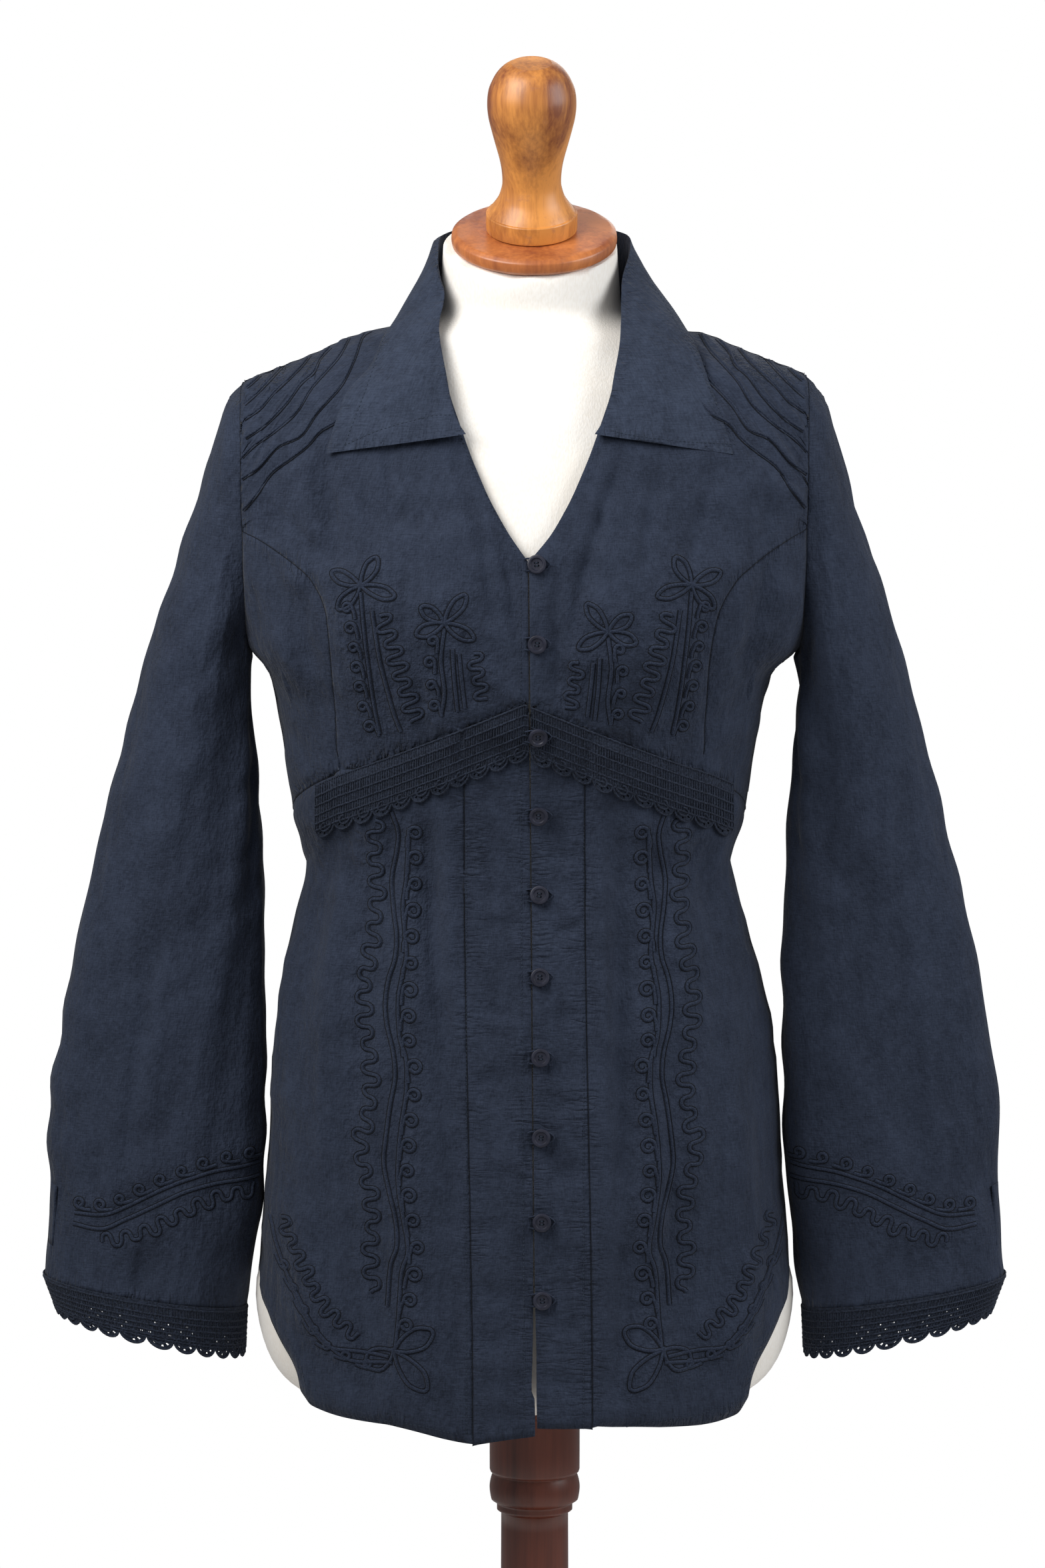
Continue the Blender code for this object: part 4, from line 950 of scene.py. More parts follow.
def makeStand():
    finish = {"dress_form": "jersey", "neck_plate": "plateWood", "stand_post": "postWood",
              "stand_base": "postWood"}
    for name in finish:
        mesh = smoothed(name, 2, *((85, 40) if name == "dress_form" else (50, 14)))
        points = pointsOf(mesh)
        if name == "dress_form":
            points = leaned(widenForm(points))
            top = np.array(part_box("neck_plate")).mean(0)
            tilt = (points[:, 1] - top[1]) * math.sin(math.radians(stand["lean"])) - stand["drop"] * mm
            points[:, 2] += rise(points[:, 2], 1.02, 1.045) * tilt
        elif name == "neck_plate":
            points = neckTurn(points, stand["plateAside"])
        elif name == "stand_post":
            wider = (points[:, 0] - stand["postFrom"] * mm) * stand["postWide"]
            points[:, 0] = stand["postTo"] * mm + wider
        movePoints(mesh, points)
        addPiece(f"made_{name}", mesh, finish[name], [name])
    addPiece("made_neck_knob", makeKnob(), "wood", ["neck_knob"])


makeStand()
print("form and stand made")


# Where the front cloth lies, for what is sewn on it

def treeOf(names):
    points, faces, start = [], [], 0
    for name in names:
        mesh = pieces[name].data
        points += [v.co.copy() for v in mesh.vertices]
        faces += [[start + i for i in p.vertices] for p in mesh.polygons]
        start = len(points)
    return BVHTree.FromPolygons(points, faces), points, faces


torsoFront = [name for name in torsoPanels if not name.startswith("back")]
frontNames = torsoFront + ["sleeve_left", "sleeve_right", "collar"]
frontTree, targetPoints, targetFaces = treeOf(frontNames)


def metFromFront(tree, x, z):
    # where the cloth is first met from the front at this place in millimetres, and its normal
    return tree.ray_cast(Vector((x * mm, -0.5, z * mm)), Vector((0, 1, 0)))[:2]


targetMesh = bpy.data.meshes.new("clothTarget")
targetMesh.from_pydata(targetPoints, [], targetFaces)
clothTarget = linked("clothTarget", targetMesh)


# Geometry Nodes: cords and stitches that follow a drawn line and lie on the cloth

def makeCordTree():
    tree = bpy.data.node_groups.new("laidCord", "GeometryNodeTree")
    inside, outside = sockets(
        tree,
        [("Line", "Geometry", None), ("Cloth", "Object", None), ("Sides", "Int", 6),
         ("Laid", "Bool", True), ("Radius", "Float", 0.001), ("Lift", "Float", 0.0),
         ("Step", "Float", 0.0012), ("Stitch", "Float", 0.0), ("Finish", "Material", None)],
        [("Mesh", "Geometry", None)],
    )
    given = inside.outputs

    def add(kind, settings=None, links=(), **values):
        made = node(tree, kind, settings, **values)
        for slot, source in dict(links).items():
            tree.links.new(source, made.inputs[slot])
        return made

    # the line in even steps, laid on the cloth that is met from the front
    cut = add("GeometryNodeResampleCurve", {"mode": "LENGTH"},
              {"Curve": given["Line"], "Length": given["Step"]})
    here = add("GeometryNodeInputPosition").outputs[0]
    place = add("ShaderNodeSeparateXYZ", None, {0: here}).outputs
    before = add("ShaderNodeCombineXYZ", None, {"X": place["X"], "Z": place["Z"]}, Y=-0.5)
    target = add("GeometryNodeObjectInfo", None, {"Object": given["Cloth"]})
    ray = add("GeometryNodeRaycast", None,
              {"Target Geometry": target.outputs["Geometry"], "Source Position": before.outputs[0]},
              Ray_Direction=(0, 1, 0), Ray_Length=1.0).outputs
    raised = add("ShaderNodeVectorMath", {"operation": "SCALE"},
                 {0: ray["Hit Normal"], "Scale": given["Lift"]})
    above = add("ShaderNodeVectorMath", {"operation": "ADD"},
                {0: ray["Hit Position"], 1: raised.outputs[0]})
    laid = add("FunctionNodeBooleanMath", {"operation": "AND"}, {0: given["Laid"], 1: ray["Is Hit"]})
    line = add("GeometryNodeSetPosition", None,
               {"Geometry": cut.outputs["Curve"], "Selection": laid.outputs[0],
                "Position": above.outputs[0]}).outputs["Geometry"]

    # a cord along it
    ring = add("GeometryNodeCurvePrimitiveCircle", None,
               {"Resolution": given["Sides"], "Radius": given["Radius"]})
    tube = add("GeometryNodeCurveToMesh", None,
               {"Curve": line, "Profile Curve": ring.outputs["Curve"]}, Fill_Caps=True)

    # or a stitch at each step
    grain = add("GeometryNodeMeshIcoSphere", None, {"Radius": given["Radius"]}, Subdivisions=1)
    stretch = add("ShaderNodeCombineXYZ", None, {"Z": given["Stitch"]}, X=1.0, Y=1.0)
    long = add("GeometryNodeTransform", None,
               {"Geometry": grain.outputs["Mesh"], "Scale": stretch.outputs[0]})
    along = add("GeometryNodeInputTangent").outputs[0]
    aim = add("FunctionNodeAlignRotationToVector", {"axis": "Z"}, {"Vector": along})
    spread = add("GeometryNodeInstanceOnPoints", None,
                 {"Points": line, "Instance": long.outputs["Geometry"], "Rotation": aim.outputs[0]})
    stitched = add("FunctionNodeCompare", {"data_type": "FLOAT", "operation": "GREATER_THAN"},
                   {0: given["Stitch"]})
    choose = add("GeometryNodeSwitch", {"input_type": "GEOMETRY"},
                 {"Switch": stitched.outputs[0], "False": tube.outputs[0], "True": spread.outputs[0]})
    real = add("GeometryNodeRealizeInstances", None, {0: choose.outputs[0]})
    soft = add("GeometryNodeSetShadeSmooth", None, {"Geometry": real.outputs[0]})
    painted = add("GeometryNodeSetMaterial", None,
                  {"Geometry": soft.outputs[0], "Material": given["Finish"]})
    tree.links.new(painted.outputs[0], outside.inputs["Mesh"])
    return tree


cordTree = makeCordTree()


def keptOnCloth(lines):
    # the runs of each drawn line that meet the front cloth, parted where it falls away
    kept = []
    for line in lines:
        run, last = [], None
        for x, z in line:
            hit, normal = metFromFront(frontTree, x, z)
            good = hit is not None and abs(normal.y) > 0.22
            if good and (last is None or abs(hit.y - last) < 0.005):
                run.append((x, z))
                last = hit.y
                continue
            if len(run) > 2:
                kept.append(run)
            run, last = [], None
        if len(run) > 2:
            kept.append(run)
    return kept


def besides(lines, apart):
    # both side lines of each line, this far from its middle
    made = []
    for line in lines:
        p = np.array(line, float)
        way = np.gradient(p, axis=0)
        side = np.stack([-way[:, 1], way[:, 0]], 1) / (np.linalg.norm(way, axis=1)[:, None] + 1e-9) * apart
        made += [p + side, p - side]
    return made


def chains(pairs):
    # joins edges that meet end to end into lines
    meets = {}
    for a, b in pairs:
        meets.setdefault(a, []).append(b)
        meets.setdefault(b, []).append(a)
    lines, used = [], set()
    for start in sorted(meets, key=lambda k: len(meets[k])):
        for step in meets[start]:
            if (start, step) in used:
                continue
            line, last = [start, step], start
            used |= {(start, step), (step, start)}
            while len(meets[line[-1]]) == 2:
                ahead = [k for k in meets[line[-1]] if (line[-1], k) not in used]
                if not ahead:
                    break
                used |= {(line[-1], ahead[0]), (ahead[0], line[-1])}
                line.append(ahead[0])
            lines.append(line)
    return lines


def sharedLine(first, second, reach=1.2):
    # the seam that two panels share, as lines of points just proud of the cloth
    rim, edges = rimLine(first)
    _, others = rimLine(second)
    here, there = pointsOf(pieces[first].data), pointsOf(pieces[second].data)
    far = nearestOn(here[rim], there[others[:, 0]], there[others[:, 1]])[1]
    near = set(rim[far < reach * mm].tolist())
    pairs = [(int(a), int(b)) for a, b in edges if a in near and b in near]
    proud = here + outwards[first] * (0.05 * mm)
    return [proud[line] for line in chains(pairs) if len(line) > 4]


def tuckLines(side, apart):
    # the tucks' edges on the front bodice itself, or lines this far above them
    tree, made = treeOf([f"front_bodice_{side}"])[0], []
    for line in tucks:
        p = np.array(curved(line, 1.2))
        way = np.gradient(p, axis=0)
        p += np.stack([-way[:, 1], way[:, 0]], 1) / np.linalg.norm(way, axis=1)[:, None] * apart
        p = leaned(np.stack([-hands[side] * p[:, 0] * mm, p[:, 0] * 0, p[:, 1] * mm], 1)) / mm
        hits = [metFromFront(tree, x, z) for x, _, z in p]
        run = [hit for hit, normal in hits if hit is not None and abs(normal.y) >= 0.08]
        if len(run) > 3:
            made.append(run)
    return made


def makeCords(name, lines, finish, radius, lift=0, step=1.2, laid=False, stitch=0.0, sides=6):
    # one mesh of cords or stitches along lines of 3-D points in metres, or laid on the front
    # along lines of (x, z)
    if laid:
        lines = keptOnCloth(lines)
    curve = bpy.data.curves.new(name, "CURVE")
    curve.dimensions = "3D"
    for line in lines:
        points = [(p[0] * mm, -0.2, p[1] * mm) for p in line] if laid else [tuple(p) for p in line]
        spline = curve.splines.new("POLY")
        spline.points.add(len(points) - 1)
        spline.points.foreach_set("co", [c for p in points for c in (*p, 1)])
    drawn = linked(name + "Line", curve)
    cord = drawn.modifiers.new("cord", "NODES")
    cord.node_group = cordTree
    values = {"Sides": sides, "Cloth": clothTarget, "Laid": laid, "Radius": radius * mm,
              "Lift": lift * mm, "Step": step * mm, "Stitch": stitch, "Finish": finishes[finish]}
    for item in cordTree.interface.items_tree:
        if item.in_out == "INPUT" and item.name in values:
            cord[item.identifier] = values[item.name]
    mesh = evaluated(drawn)
    bpy.data.objects.remove(drawn)
    return addPiece(name, mesh, finish)


# Embroidery: drawn for the left side, x counted outwards from the middle

def alongLine(points, pitch):
    # places and directions at even steps along a smooth line
    line = np.array(curved(points, 0.7))
    gone = np.concatenate([[0], np.cumsum(np.linalg.norm(np.diff(line, axis=0), axis=1))])
    marks = np.arange(0, gone[-1] + 0.01, gone[-1] / max(1, round(gone[-1] / pitch)))

    def at(marks):
        return np.stack([np.interp(marks, gone, line[:, k]) for k in (0, 1)], 1)

    ahead = at(marks + 1) - at(marks - 1)
    return at(marks), ahead / np.linalg.norm(ahead, axis=1)[:, None]


def wave(points, pitch, high):
    # a meandering cord along a line
    places, ahead = alongLine(points, pitch / 12)
    side = np.stack([-ahead[:, 1], ahead[:, 0]], 1)
    turn = np.arange(len(places)) * 2 * math.pi / 12
    uneven = 1 + 0.18 * np.sin(turn * 0.37 + 1)
    swing = np.sin(turn) * high * uneven
    lean = np.sin(2 * turn) * pitch * -0.07
    return [tuple(p) for p in places + side * swing[:, None] + ahead * lean[:, None]]


def curls(points, pitch, size, hand):
    # hooked curls that leave a stem one after another
    places, ahead = alongLine(points, pitch)
    made = []
    for i, (place, way) in enumerate(zip(places, ahead)):
        side = np.array([-way[1], way[0]]) * hand
        grow = size * (1 + 0.1 * math.sin(i * 2.3))
        line = [place + way * size * 1.3 + side * 0.1 * size,
                place + way * size * 0.45 + side * 0.12 * size]
        for k in range(12):
            turn = math.radians(200 - k * 34)
            reach = grow * (0.64 - 0.022 * k)
            middle = place - way * 0.15 * size + side * 0.85 * size
            line.append(middle + side * math.cos(turn) * reach - way * math.sin(turn) * reach)
        made.append(curved(line, 0.9))
    return made


def petal(centre, tip, wide):
    # a pointed leaf-shaped loop from a flower's middle
    centre, tip = np.array(centre, float), np.array(tip, float)
    way = tip - centre
    side = np.array([-way[1], way[0]]) / np.linalg.norm(way) * wide / 2
    outline = [(0, 0), (0.3, 0.7), (0.68, 1), (0.94, 0.45), (1, 0),
               (0.94, -0.45), (0.68, -1), (0.3, -0.7), (0, 0)]
    return curved([centre + way * along + side * out for along, out in outline], 1.2)


def flower(centre, tips, wide):
    # petals, each with a rib, round a small ring
    made = [petal(centre, tip, wide) for tip in tips]
    centre = np.array(centre)
    for tip in np.array(tips):
        made.append([tuple(centre * 0.75 + tip * 0.25), tuple(centre * 0.25 + tip * 0.75)])
    turns = np.linspace(0, 6.3, 9)
    return made + [[(centre[0] + 1.3 * math.cos(a), centre[1] + 1.3 * math.sin(a)) for a in turns]]


bust = {
    "flowers": [
        ((-100, 856), [(-90, 873), (-118, 863), (-79, 850), (-114, 841)], 7.5),
        ((-49, 834), [(-36, 851), (-63, 844), (-31, 824), (-66, 827)], 7.5),
    ],
    "stems": [
        [(-100, 852), (-98, 827), (-95, 800), (-92, 778), (-89, 763)],
        [(-93, 841), (-89, 813), (-85, 795), (-80, 776), (-76, 765)],
        [(-49, 830), (-51, 811), (-49, 791), (-51, 776)],
        [(-44, 818), (-43, 799), (-41, 779)],
        [(-40, 815), (-38.5, 799), (-36.5, 781)],
    ],
    "waves": [
        ([(-88, 838), (-82, 824), (-76, 803), (-71, 787), (-66, 772)], 10.5, 5.2),
        ([(-31, 815), (-28, 799), (-25, 786)], 9.5, 4.2),
    ],
    "curls": [([(-104, 842), (-101, 822), (-98, 800), (-95, 780), (-91, 768)], 13.5, 5.0, -1),
              ([(-52, 822), (-54, 806), (-52, 790), (-51, 782)], 13.2, 4.8, -1)],
}
skirt = {
    "flowers": [((-81, 380), [(-57, 393), (-98, 368), (-61, 356)], 13)],
    "stems": [
        [(-82, 714), (-78, 701), (-79, 688), (-82, 671), (-81, 653), (-79, 637), (-80, 623), (-84, 610),
         (-86, 596), (-85, 582), (-81, 565), (-80, 550), (-83, 533), (-86, 511), (-87, 496), (-84, 480),
         (-80, 463), (-79, 446), (-83, 432), (-85, 407)],
        [(-71, 704), (-72, 688), (-73, 671), (-75, 656), (-74, 640), (-73, 625), (-76, 610), (-78, 596),
         (-77, 575), (-73, 561), (-73, 541), (-76, 521), (-78, 500), (-78, 483), (-75, 463), (-72, 443),
         (-76, 429), (-78, 401), (-80, 382)],
        [(-82, 372), (-109, 371), (-129, 387), (-141, 407), (-154, 432), (-160, 452)],
        [(-84, 375.5), (-105, 377), (-123, 379), (-136, 394), (-148, 418), (-157, 440)],
    ],
    "waves": [
        ([(-92, 708), (-93, 683), (-91, 667), (-93, 642), (-96, 621), (-99, 609), (-99, 584), (-96, 563),
          (-95, 542), (-98, 521), (-102, 505), (-96, 480), (-94, 459), (-96, 433), (-92, 414)], 14.4, 4.6),
        ([(-152, 454), (-144, 438), (-136, 424), (-128, 408), (-117, 396), (-104, 386)], 10.5, 4.2),
    ],
    "curls": [
        ([(-73, 700), (-73, 671), (-75, 640), (-76, 610), (-77, 575), (-73, 552), (-76, 521), (-78, 490),
          (-75, 463), (-72, 443), (-77, 410), (-79, 396)], 15.8, 6.6, 1),
        ([(-100, 366), (-128, 378), (-144, 404), (-154, 424)], 15, 4.4, -1),
    ],
}
cuff = {
    "stems": [
        [(-285, 444), (-267, 442), (-252, 448), (-233, 457), (-214, 466), (-194, 471), (-168, 473)],
        [(-284, 451), (-267, 451), (-254, 455), (-238, 463), (-223, 470), (-209, 475), (-194, 479),
         (-168, 482)],
    ],
    "waves": [([(-266, 434), (-249, 438), (-234, 443), (-219, 451), (-204, 458), (-190, 463),
                (-170, 465)], 12.5, 4.2)],
    "curls": [([(-280, 453), (-267, 453), (-254, 457), (-238, 465), (-223, 472), (-209, 477),
                (-194, 482), (-172, 485)], 14, 5.2, 1)],
    "flowers": [],
}
embroidery = {  # the cord, dark cords beside it as painted shade in its grooves, and how far the worked ground reaches
    "radius": 1.3, "lift": -0.25, "grooveShade": 0.3, "apart": 1.4, "ground": 9,
    "innerFlowerDrop": 5.5,  # the right bust's inner flower hangs lower than the left one
}
# radii of the dark cord along each tuck's lower edge, painted shade under the tuck, and of the cloth rib, and
# how far above the edge the rib lies
tuckCords = {"grooveShade": 0.42, "rib": 0.85, "ribAbove": 1.5}


def drawn(plan):
    lines = [curved(stem) for stem in plan["stems"]]
    lines += [wave(*values) for values in plan["waves"]]
    for values in plan["curls"]:
        lines += curls(*values)
    for values in plan["flowers"]:
        lines += flower(*values)
    return lines


def mirrored(lines, about):
    return [[(2 * about - p[0], p[1]) for p in line] for line in lines]


workedLines = []
for label, plan, about in (("bust", bust, 1.0), ("skirt", skirt, 2.5), ("cuff", cuff, 0.0)):
    for side, lines in (("left", drawn(plan)), ("right", mirrored(drawn(plan), about))):
        name = f"embroidery_{label}_{side}"
        if label == "bust" and side == "right":
            drop = embroidery["innerFlowerDrop"]
            lines = [[(x, z - drop) for x, z in line] if np.mean(line, 0)[0] < 62 else line
                     for line in lines]
        workedLines += lines
        sizes = embroidery["radius"], embroidery["lift"]
        makeCords(name, lines, "cord", *sizes, step=1.4, laid=True)
        # dark cords on both sides of every cord: painted shade in the grooves beside it
        grooveShades = besides(lines, embroidery["apart"])
        makeCords(f"{name}_grooves", grooveShades, "grooveShade", embroidery["grooveShade"], 0.05, 1.8, laid=True, sides=4)
worked = np.array([(p[0], p[1]) for line in workedLines for p in line[::3]]) * mm
for name in torsoFront + ["sleeve_left", "sleeve_right"]:
    points = pointsOf(pieces[name].data)
    flat = np.stack([points[:, 0], points[:, 0] * 0, points[:, 2]], 1)
    span = (worked[:, 0] > flat[:, 0].min() - 0.01) & (worked[:, 0] < flat[:, 0].max() + 0.01)
    spots = [(x, 0, z) for x, z in worked[span]]
    near = nearness(flat, spots, embroidery["ground"] * mm)
    mark(pieces[name].data, "worked", near * (points[:, 1] < 0))
for side in hands:
    # a dark cord along each tuck's lower edge paints the shade under the tuck, and a rib of cord lies above it
    grooveShade, rib = tuckLines(side, 0.0), tuckLines(side, tuckCords["ribAbove"])
    makeCords(f"tuck_grooves_{side}", grooveShade, "grooveShade", tuckCords["grooveShade"], step=1.5)
    makeCords(f"tuck_ribs_{side}", rib, "cord", tuckCords["rib"], step=1.5, sides=8)
    # dark cords along the seams the panels share: painted shade in each seam
    shared = [line for first, second in sewn[side] for line in sharedLine(first, second)]
    makeCords(f"seam_lines_{side}", shared, "grooveShade", 0.25, step=2.0, sides=5)
print("embroidery laid")


# Stitched lines on the front

seams = {
    "edges": [
        # the left front's edge, and the two plackets' outer seams
        [(-2.2, 866), (-2.2, 800), (-1.7, 600), (-0.7, 450), (0.3, 330)],
        [(-35.9, 706), (-35.9, 520), (-35.9, 330)],
        [(36.5, 706), (36.5, 520), (36.5, 330)],
        # the collar
        [(-110, 940), (-88, 949.5), (-58, 958), (-46, 959)],
        [(-110, 941), (-98, 972), (-85, 1008), (-76, 1021), (-68, 1040)],
        [(129, 940), (108, 941.5), (88, 943.5), (67, 946.5), (54, 949.5)],
        [(129, 940), (119, 962), (105, 992), (91, 1017), (78, 1037)],
        # the V neck
        [(-38, 944), (-33, 930), (-20, 905), (-6, 878)],
        [(41, 944), (37, 930), (26, 905), (12, 884)],
        # the vents and the hem
        [(-165, 402), (-159, 392), (-148, 378), (-141, 366), (-137, 352)],
        [(-137, 345), (-128, 341), (-100, 336), (-70, 334), (-42, 329)],
        [(168, 402), (162, 392), (151, 378), (144, 366), (140, 352)],
        [(140, 345), (130, 341), (102, 336), (74, 334), (44, 329)],
    ],
    "radius": 0.28, "lift": 0.12, "pitch": 2.6, "stitch": 3.0,
}
makeCords("stitches_front", [curved(line) for line in seams["edges"]], "thread", seams["radius"],
          seams["lift"], seams["pitch"], laid=True, stitch=seams["stitch"])


# Lace: close rows of small bars with a few tiny openings, raised rows between, and looped scallops

lace = {
    "cell": 3.05, "perScallop": 4, "drop": 6.6, "thick": 0.8, "opening": 0.95, "yarn": 0.72, "bar": 0.42,
    "bandRows": (0, 6.2, 12.4, 18.6, 24.0, 28.4), "cuffRows": (0, 5.6, 9.4, 13.0, 16.6, 20.0, 21.8),
    "bars": {"band": 5, "cuff": 6}, "bandOut": 1.3, "cuffAround": 300, "cuffUnder": 2.5,
}
cuffLace = {  # the outer and inner ends of its top and foot as (x, z), its depths, and its roundness
    "top": ((306, 405.6), (176.4, 384.6)), "foot": ((297.5, 382.5), (178, 354.5)), "high": 28,
    "front": 41.4, "back": 43.4, "in": 0.6, "round": 2.2,
}


def laceNet(place, columns, rows, openRows):
    # the close ground with its tiny openings, and a shell with a few openings under every scallop
    points, faces = [], []

    def add(corners, opening):
        start = len(points)
        points.extend(place(*c) for c in corners)
        if not opening:
            faces.append([start, start + 1, start + 2, start + 3])
            return
        (s0, t0), (s1, t1) = corners[0], corners[2]
        s, t, half = (s0 + s1) / 2, (t0 + t1) / 2, lace["opening"] / 2
        ds = half / lace["cell"]
        low, high = t - half, t + half
        points.extend(place(*c) for c in ((s - ds, low), (s + ds, low), (s + ds, high), (s - ds, high)))
        for k in range(4):
            faces.append([start + k, start + (k + 1) % 4, start + 4 + (k + 1) % 4, start + 4 + k])

    for c in range(columns):
        for r, (t0, t1) in enumerate(zip(rows[:-1], rows[1:])):
            opening = r in openRows and t1 - t0 > 2 and (c * 7 + r * 5 + (c // 9) * 3) % 11 < 4
            add([(c, t0), (c + 1, t0), (c + 1, t1), (c, t1)], opening)
    foot, per = rows[-1], lace["perScallop"]
    turns = np.linspace(0, math.pi, 13)
    for c in range(0, columns - per + 1, per):
        middle = c + per / 2
        for ring, (r0, r1) in enumerate(((0.0, 0.5), (0.5, 0.72), (0.72, 1.0))):
            for k, (a, b) in enumerate(zip(turns[:-1], turns[1:])):
                if ring == 1 and k in (2, 5 + (c // per) % 2, 9):
                    continue
                start = len(points)
                for r, turn in ((r0, a), (r1, a), (r1, b), (r0, b)):
                    along = middle + per / 2 * r * math.cos(turn)
                    points.append(place(along, foot + lace["drop"] * r * math.sin(turn)))
                faces.append([start, start + 1, start + 2, start + 3])
    return shell("lace", points, faces, 0.1)


def makeLace(kind, side, place, columns, node):
    name, rows = f"made_{node}", lace[f"{kind}Rows"]
    # the cuff's ground reaches up under the sleeve's foot
    ground, openRows = ((-lace["cuffUnder"], *rows), (3, 4, 5)) if kind == "cuff" else (rows, ())
    net = linked("net", laceNet(place, columns, ground, openRows))
    thick = net.modifiers.new("thick", "SOLIDIFY")
    thick.thickness, thick.offset, thick.use_rim = lace["thick"] * mm, 0, True
    mesh = shaded(evaluated(net), 60)
    bpy.data.objects.remove(net)
    halves = range(2 * columns + 1)
    lines = [[place(c / 2, t + 0.18 * math.sin(c * 2.4), 0.45) for c in halves] for t in rows]
    bars = []
    for r, (t0, t1) in enumerate(zip(rows[: lace["bars"][kind]], rows[1:])):
        for c in halves:
            along = c / 2 + 0.06 * math.sin(c * 1.7 + r)
            bars.append([place(along, t, 0.5) for t in np.linspace(t0, t1, 4)])
    foot, per, drop = rows[-1], lace["perScallop"], lace["drop"]
    edge, curls = [], []
    for c in range(0, columns - per + 1, per):
        middle = c + per / 2
        for turn in np.linspace(math.pi, 0, 11):
            along = middle + per / 2 * 0.95 * math.cos(turn)
            edge.append(place(along, foot + drop * 0.95 * math.sin(turn), 0.3))
        curl = []
        for turn, reach in zip(np.linspace(3.3, -1.9, 15), np.linspace(0.74, 0.2, 15)):
            along = middle + per / 2 * reach * math.cos(turn)
            curl.append(place(along, foot - 1 + (drop + 0.4) * reach * math.sin(turn), 0.55))
        curls.append(curl)
    pieces[node] = addPiece(name, mesh, "lace", [node])
    makeCords(f"{name}_yarn", lines + [edge] + curls, "lace", lace["yarn"], step=1.2, sides=5)
    makeCords(f"{name}_bars", bars, "lace", lace["bar"], step=2.4, sides=4)


def bandPlace(side):
    # where the band lies: along x from the meeting edge, down from its top line, out from the cloth
    node = f"lace_band_{side}"
    low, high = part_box(node)
    hand = hands[side]
    inner = (high.x if hand < 0 else low.x) / mm
    outer = (low.x if hand < 0 else high.x) / mm
    columns = 4 * round(abs(outer - inner) / lace["cell"] / 4)

    def place(c, t, out=0.0):
        x = inner + (outer - inner) * c / columns
        top = 783 - 49 * abs(x) / 115 if abs(x) < 115 else 734 - 7 * (abs(x) - 115) / 12
        p = metFromFront(skirtTree, x, top - t)[0] or Vector((x * mm, -0.1, (top - t) * mm))
        away = Vector((p.x * 0.6, p.y, 0)).normalized()
        return p + away * ((lace["bandOut"] + out) * mm)

    return place, columns, node


def cuffPlace(side):
    # where the cuff lace lies: round the arm, down from the sleeve's foot, and out from it
    hand = hands[side]
    (outerTop, innerTop), (outerFoot, innerFoot) = np.array(cuffLace["top"]), np.array(cuffLace["foot"])
    columns = 4 * round(lace["cuffAround"] / lace["cell"] / 4)

    def place(c, t, out=0.0):
        turn = 2 * math.pi * c / columns + math.pi / 2
        share = t / cuffLace["high"]
        outer = outerTop + (outerFoot - outerTop) * share
        inner = innerTop + (innerFoot - innerTop) * share
        half = np.linalg.norm(outer - inner) / 2
        way = (outer - inner) / (2 * half)
        cos, sin = math.cos(turn), math.sin(turn)
        cos, sin = (math.copysign(abs(v) ** (2 / cuffLace["round"]), v) for v in (cos, sin))
        x, z = (outer + inner) / 2 + way * cos * (half - cuffLace["in"] + out)
        deep = sin * (cuffLace["front" if sin > 0 else "back"] + out)
        return Vector((hand * x, -deep, z)) * mm

    return place, columns, f"cuff_lace_{side}"


skirtTree = treeOf(torsoFront)[0]
for side in hands:
    for kind, where in (("band", bandPlace), ("cuff", cuffPlace)):
        makeLace(kind, side, *where(side))
print("lace made")


# Buttons with four holes and their thread, and the cloth loops

button = {
    "radius": 5.9, "rim": 1.9, "dish": 0.95, "hole": 0.7, "holeOut": 1.3, "segments": 40,
    "thread": 0.2, "threadApart": 0.22, "shank": 0.9, "count": 10,
}


def buttonFrame(name):
    # the solid button's middle, its ways across and out, and how thick it is
    points = pointsOf(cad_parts[name].data)
    middle = (points.min(0) + points.max(0)) / 2
    _, _, axes = np.linalg.svd(points - points.mean(0))
    out = axes[2] * (1 if axes[2][1] < 0 else -1)
    depth = (points - middle) @ out
    across = np.cross(np.array([0, 0, 1.0]), out)
    across /= np.linalg.norm(across)
    across = -across if across[0] < 0 else across
    return middle + out * (depth.max() + depth.min()) / 2, across, out, depth.max() - depth.min()


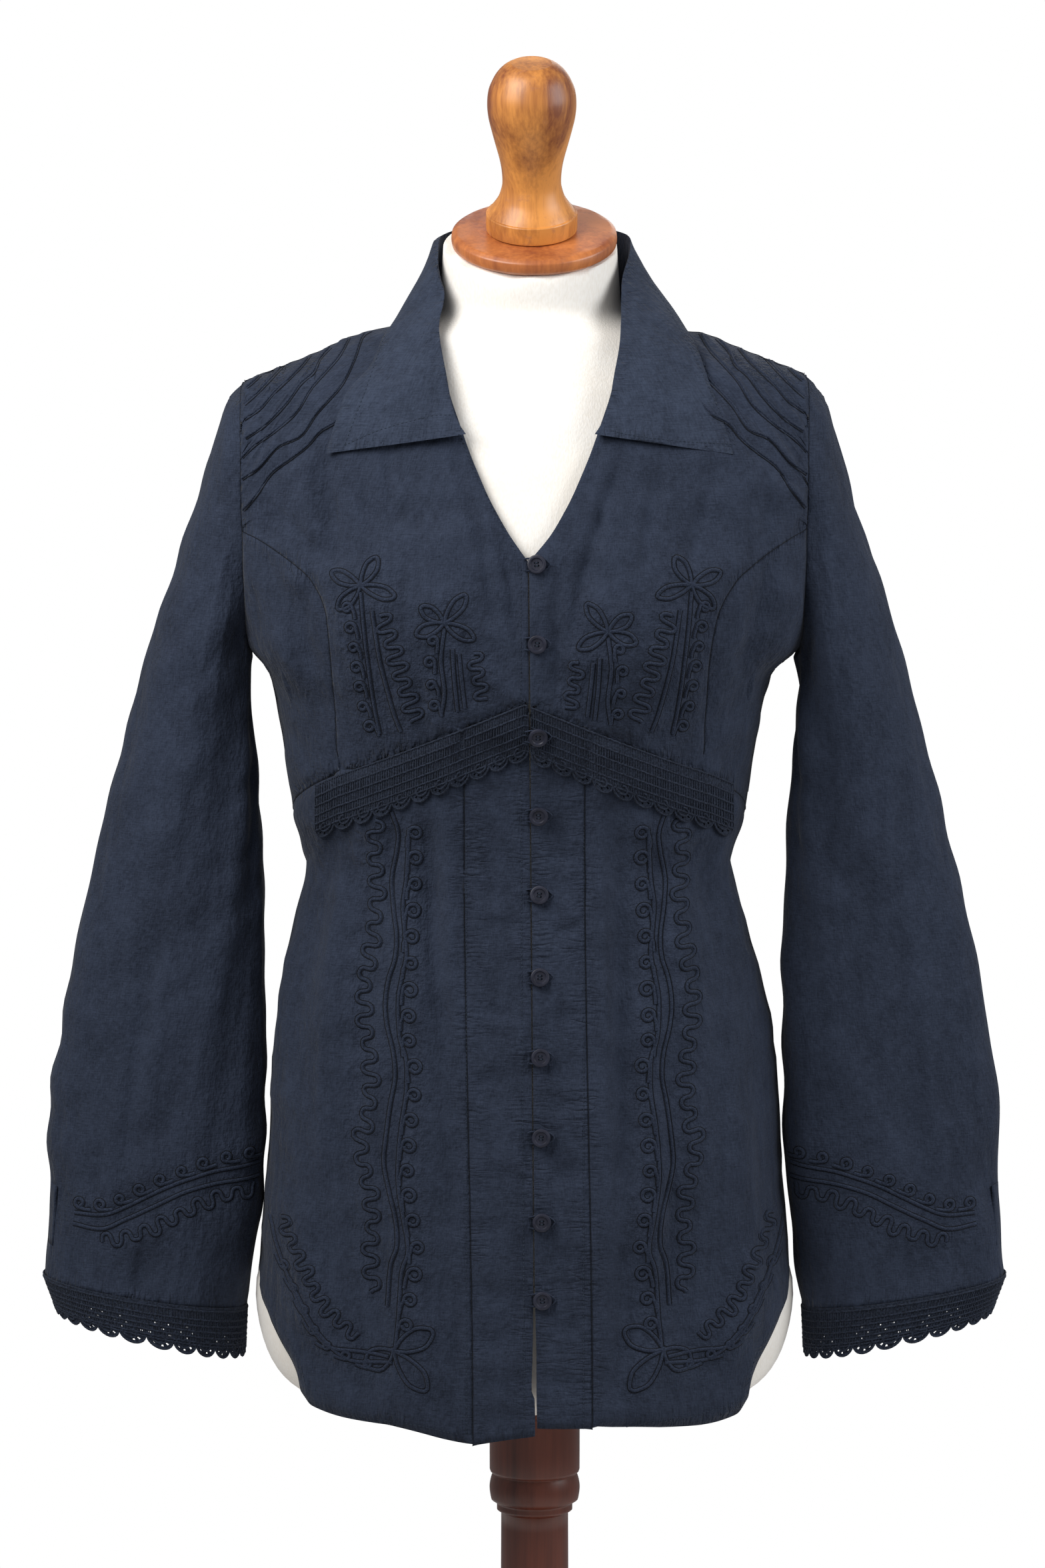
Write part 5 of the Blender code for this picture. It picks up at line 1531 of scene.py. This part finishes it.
def makeButton(name, turn):
    middle, across, out, thick = buttonFrame(name)
    up = np.cross(out, across)
    if up[2] < 0:
        up = -up
    r, top, rim = button["radius"], thick / mm, button["rim"]
    dish = top - button["dish"]
    profile = [(0.0, 0.0), (r - 1.0, 0.0), (r - 0.2, 0.35), (r, 0.9), (r, top - 0.8), (r - 0.35, top - 0.2),
               (r - 0.8, top), (r - rim, top - 0.15), (r - rim - 0.55, dish), (r - rim - 1.2, dish - 0.05),
               (0.0, dish - 0.1)]
    b = bmesh.new()
    verts = [b.verts.new((x, 0, z)) for x, z in profile]
    edges = [b.edges.new(pair) for pair in zip(verts[:-1], verts[1:])]
    bmesh.ops.spin(b, geom=verts + edges, cent=(0, 0, 0), axis=(0, 0, 1), angle=2 * math.pi,
                   steps=button["segments"], use_duplicate=False)
    bmesh.ops.remove_doubles(b, verts=b.verts, dist=0.001)
    bmesh.ops.recalc_face_normals(b, faces=b.faces)
    shape = linked("buttonShape", meshOf(b, "buttonShape"))
    b = bmesh.new()
    for k in range(4):
        a = math.pi / 4 + k * math.pi / 2
        made = bmesh.ops.create_cone(b, cap_ends=True, segments=12, radius1=button["hole"],
                                     radius2=button["hole"], depth=top * 2)
        away = button["holeOut"]
        bmesh.ops.translate(b, verts=made["verts"], vec=(math.cos(a) * away, math.sin(a) * away, top * 0.9))
    holes = linked("holes", meshOf(b, "holes"))
    cut = shape.modifiers.new("holes", "BOOLEAN")
    cut.operation, cut.object, cut.solver = "DIFFERENCE", holes, "EXACT"
    mesh = evaluated(shape)
    bpy.data.objects.remove(shape)
    bpy.data.objects.remove(holes)
    spun = pointsOf(mesh)
    c, s = math.cos(turn), math.sin(turn)
    flat = np.outer(spun[:, 0] * c - spun[:, 1] * s, across) + np.outer(spun[:, 0] * s + spun[:, 1] * c, up)
    movePoints(mesh, middle + (flat + np.outer(spun[:, 2] - top / 2, out)) * mm)
    if np.dot(np.cross(across, up), out) < 0:
        mesh.flip_normals()
    addPiece(f"made_{name}", shaded(mesh, 35), "button", [name])
    # two threads between the holes of each pair, that dip into them at both ends
    level, lines = top / 2 - button["dish"] + 0.25, []
    for k in (0, 1):
        a = math.pi / 4 + turn + k * math.pi
        ways = [np.array([math.cos(a + f), math.sin(a + f)]) for f in (0, math.pi / 4, math.pi / 2)]
        for off in (-button["threadApart"], button["threadApart"]):
            line = []
            for t in np.linspace(0, 1, 7):
                q = (ways[0] * (1 - t) + ways[2] * t) * button["holeOut"] + off * ways[1]
                dip = level - 1.2 * (2 * t - 1) ** 6
                line.append(middle + (across * q[0] + up * q[1] + out * dip) * mm)
            lines.append(line)
    shank = [middle - out * (top / 2 + 1.9) * mm, middle - out * (top / 2 - 0.3) * mm]
    return lines, shank


threads, shanks = [], []
for index in range(1, button["count"] + 1):
    lines, shank = makeButton(f"button_{index:02d}", 0.15 * math.sin(index * 2.1))
    threads += lines
    shanks.append(shank)
    name = f"button_loop_{index:02d}"
    mesh = smoothed(name, 2, 90, 60)
    weaveMap(mesh, pointsOf(mesh), pointsOf(mesh)[:, 0] * 0, 1.0)
    addPiece(f"cloth_{name}", mesh, "cord", [name])
makeCords("button_threads", threads, "thread", button["thread"], step=0.5)
makeCords("button_shanks", shanks, "thread", button["shank"], step=1.0)
bpy.data.objects.remove(clothTarget)
print("buttons made")


# What each cloth piece was cut from: width, length and area of the flat cut, in metres

cuts = {
    "front_bodice_left": ((0.21, 0.30), 0.043, "draped", ["dress_form"]),
    "front_bodice_right": ((0.21, 0.30), 0.041, "draped", ["dress_form"]),
    "side_front_left": ((0.11, 0.19), 0.0128, "draped", ["dress_form"]),
    "side_front_right": ((0.11, 0.19), 0.0128, "draped", ["dress_form"]),
    "back_bodice": ((0.46, 0.31), 0.121, "draped", ["dress_form"]),
    "front_skirt_left": ((0.19, 0.45), 0.066, "hung", ["dress_form"]),
    "front_skirt_right": ((0.19, 0.45), 0.066, "hung", ["dress_form"]),
    "placket_left": ((0.045, 0.46), None, "hung", ["dress_form"]),
    "placket_right": ((0.035, 0.46), None, "hung", ["dress_form"]),
    "back_skirt": ((0.46, 0.39), 0.151, "hung", ["dress_form"]),
    "sleeve_left": ((0.34, 0.60), 0.142, "hung", ["front_bodice_left"]),
    "sleeve_right": ((0.34, 0.60), 0.142, "hung", ["front_bodice_right"]),
    "collar": ((0.46, 0.12), 0.043, "folded",
               ["front_bodice_left", "front_bodice_right", "back_bodice"]),
    "cuff_tab_left": ((0.01, 0.039), None, "laid", ["sleeve_left"]),
    "cuff_tab_right": ((0.01, 0.039), None, "laid", ["sleeve_right"]),
    "lace_band_left": ((0.145, 0.035), None, "laid", ["front_skirt_left"]),
    "lace_band_right": ((0.145, 0.035), None, "laid", ["front_skirt_right"]),
    "cuff_lace_left": ((0.305, 0.028), None, "hung", ["sleeve_left"]),
    "cuff_lace_right": ((0.305, 0.028), None, "hung", ["sleeve_right"]),
}
for name, (flat, area, held, rests) in cuts.items():
    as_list(rests)
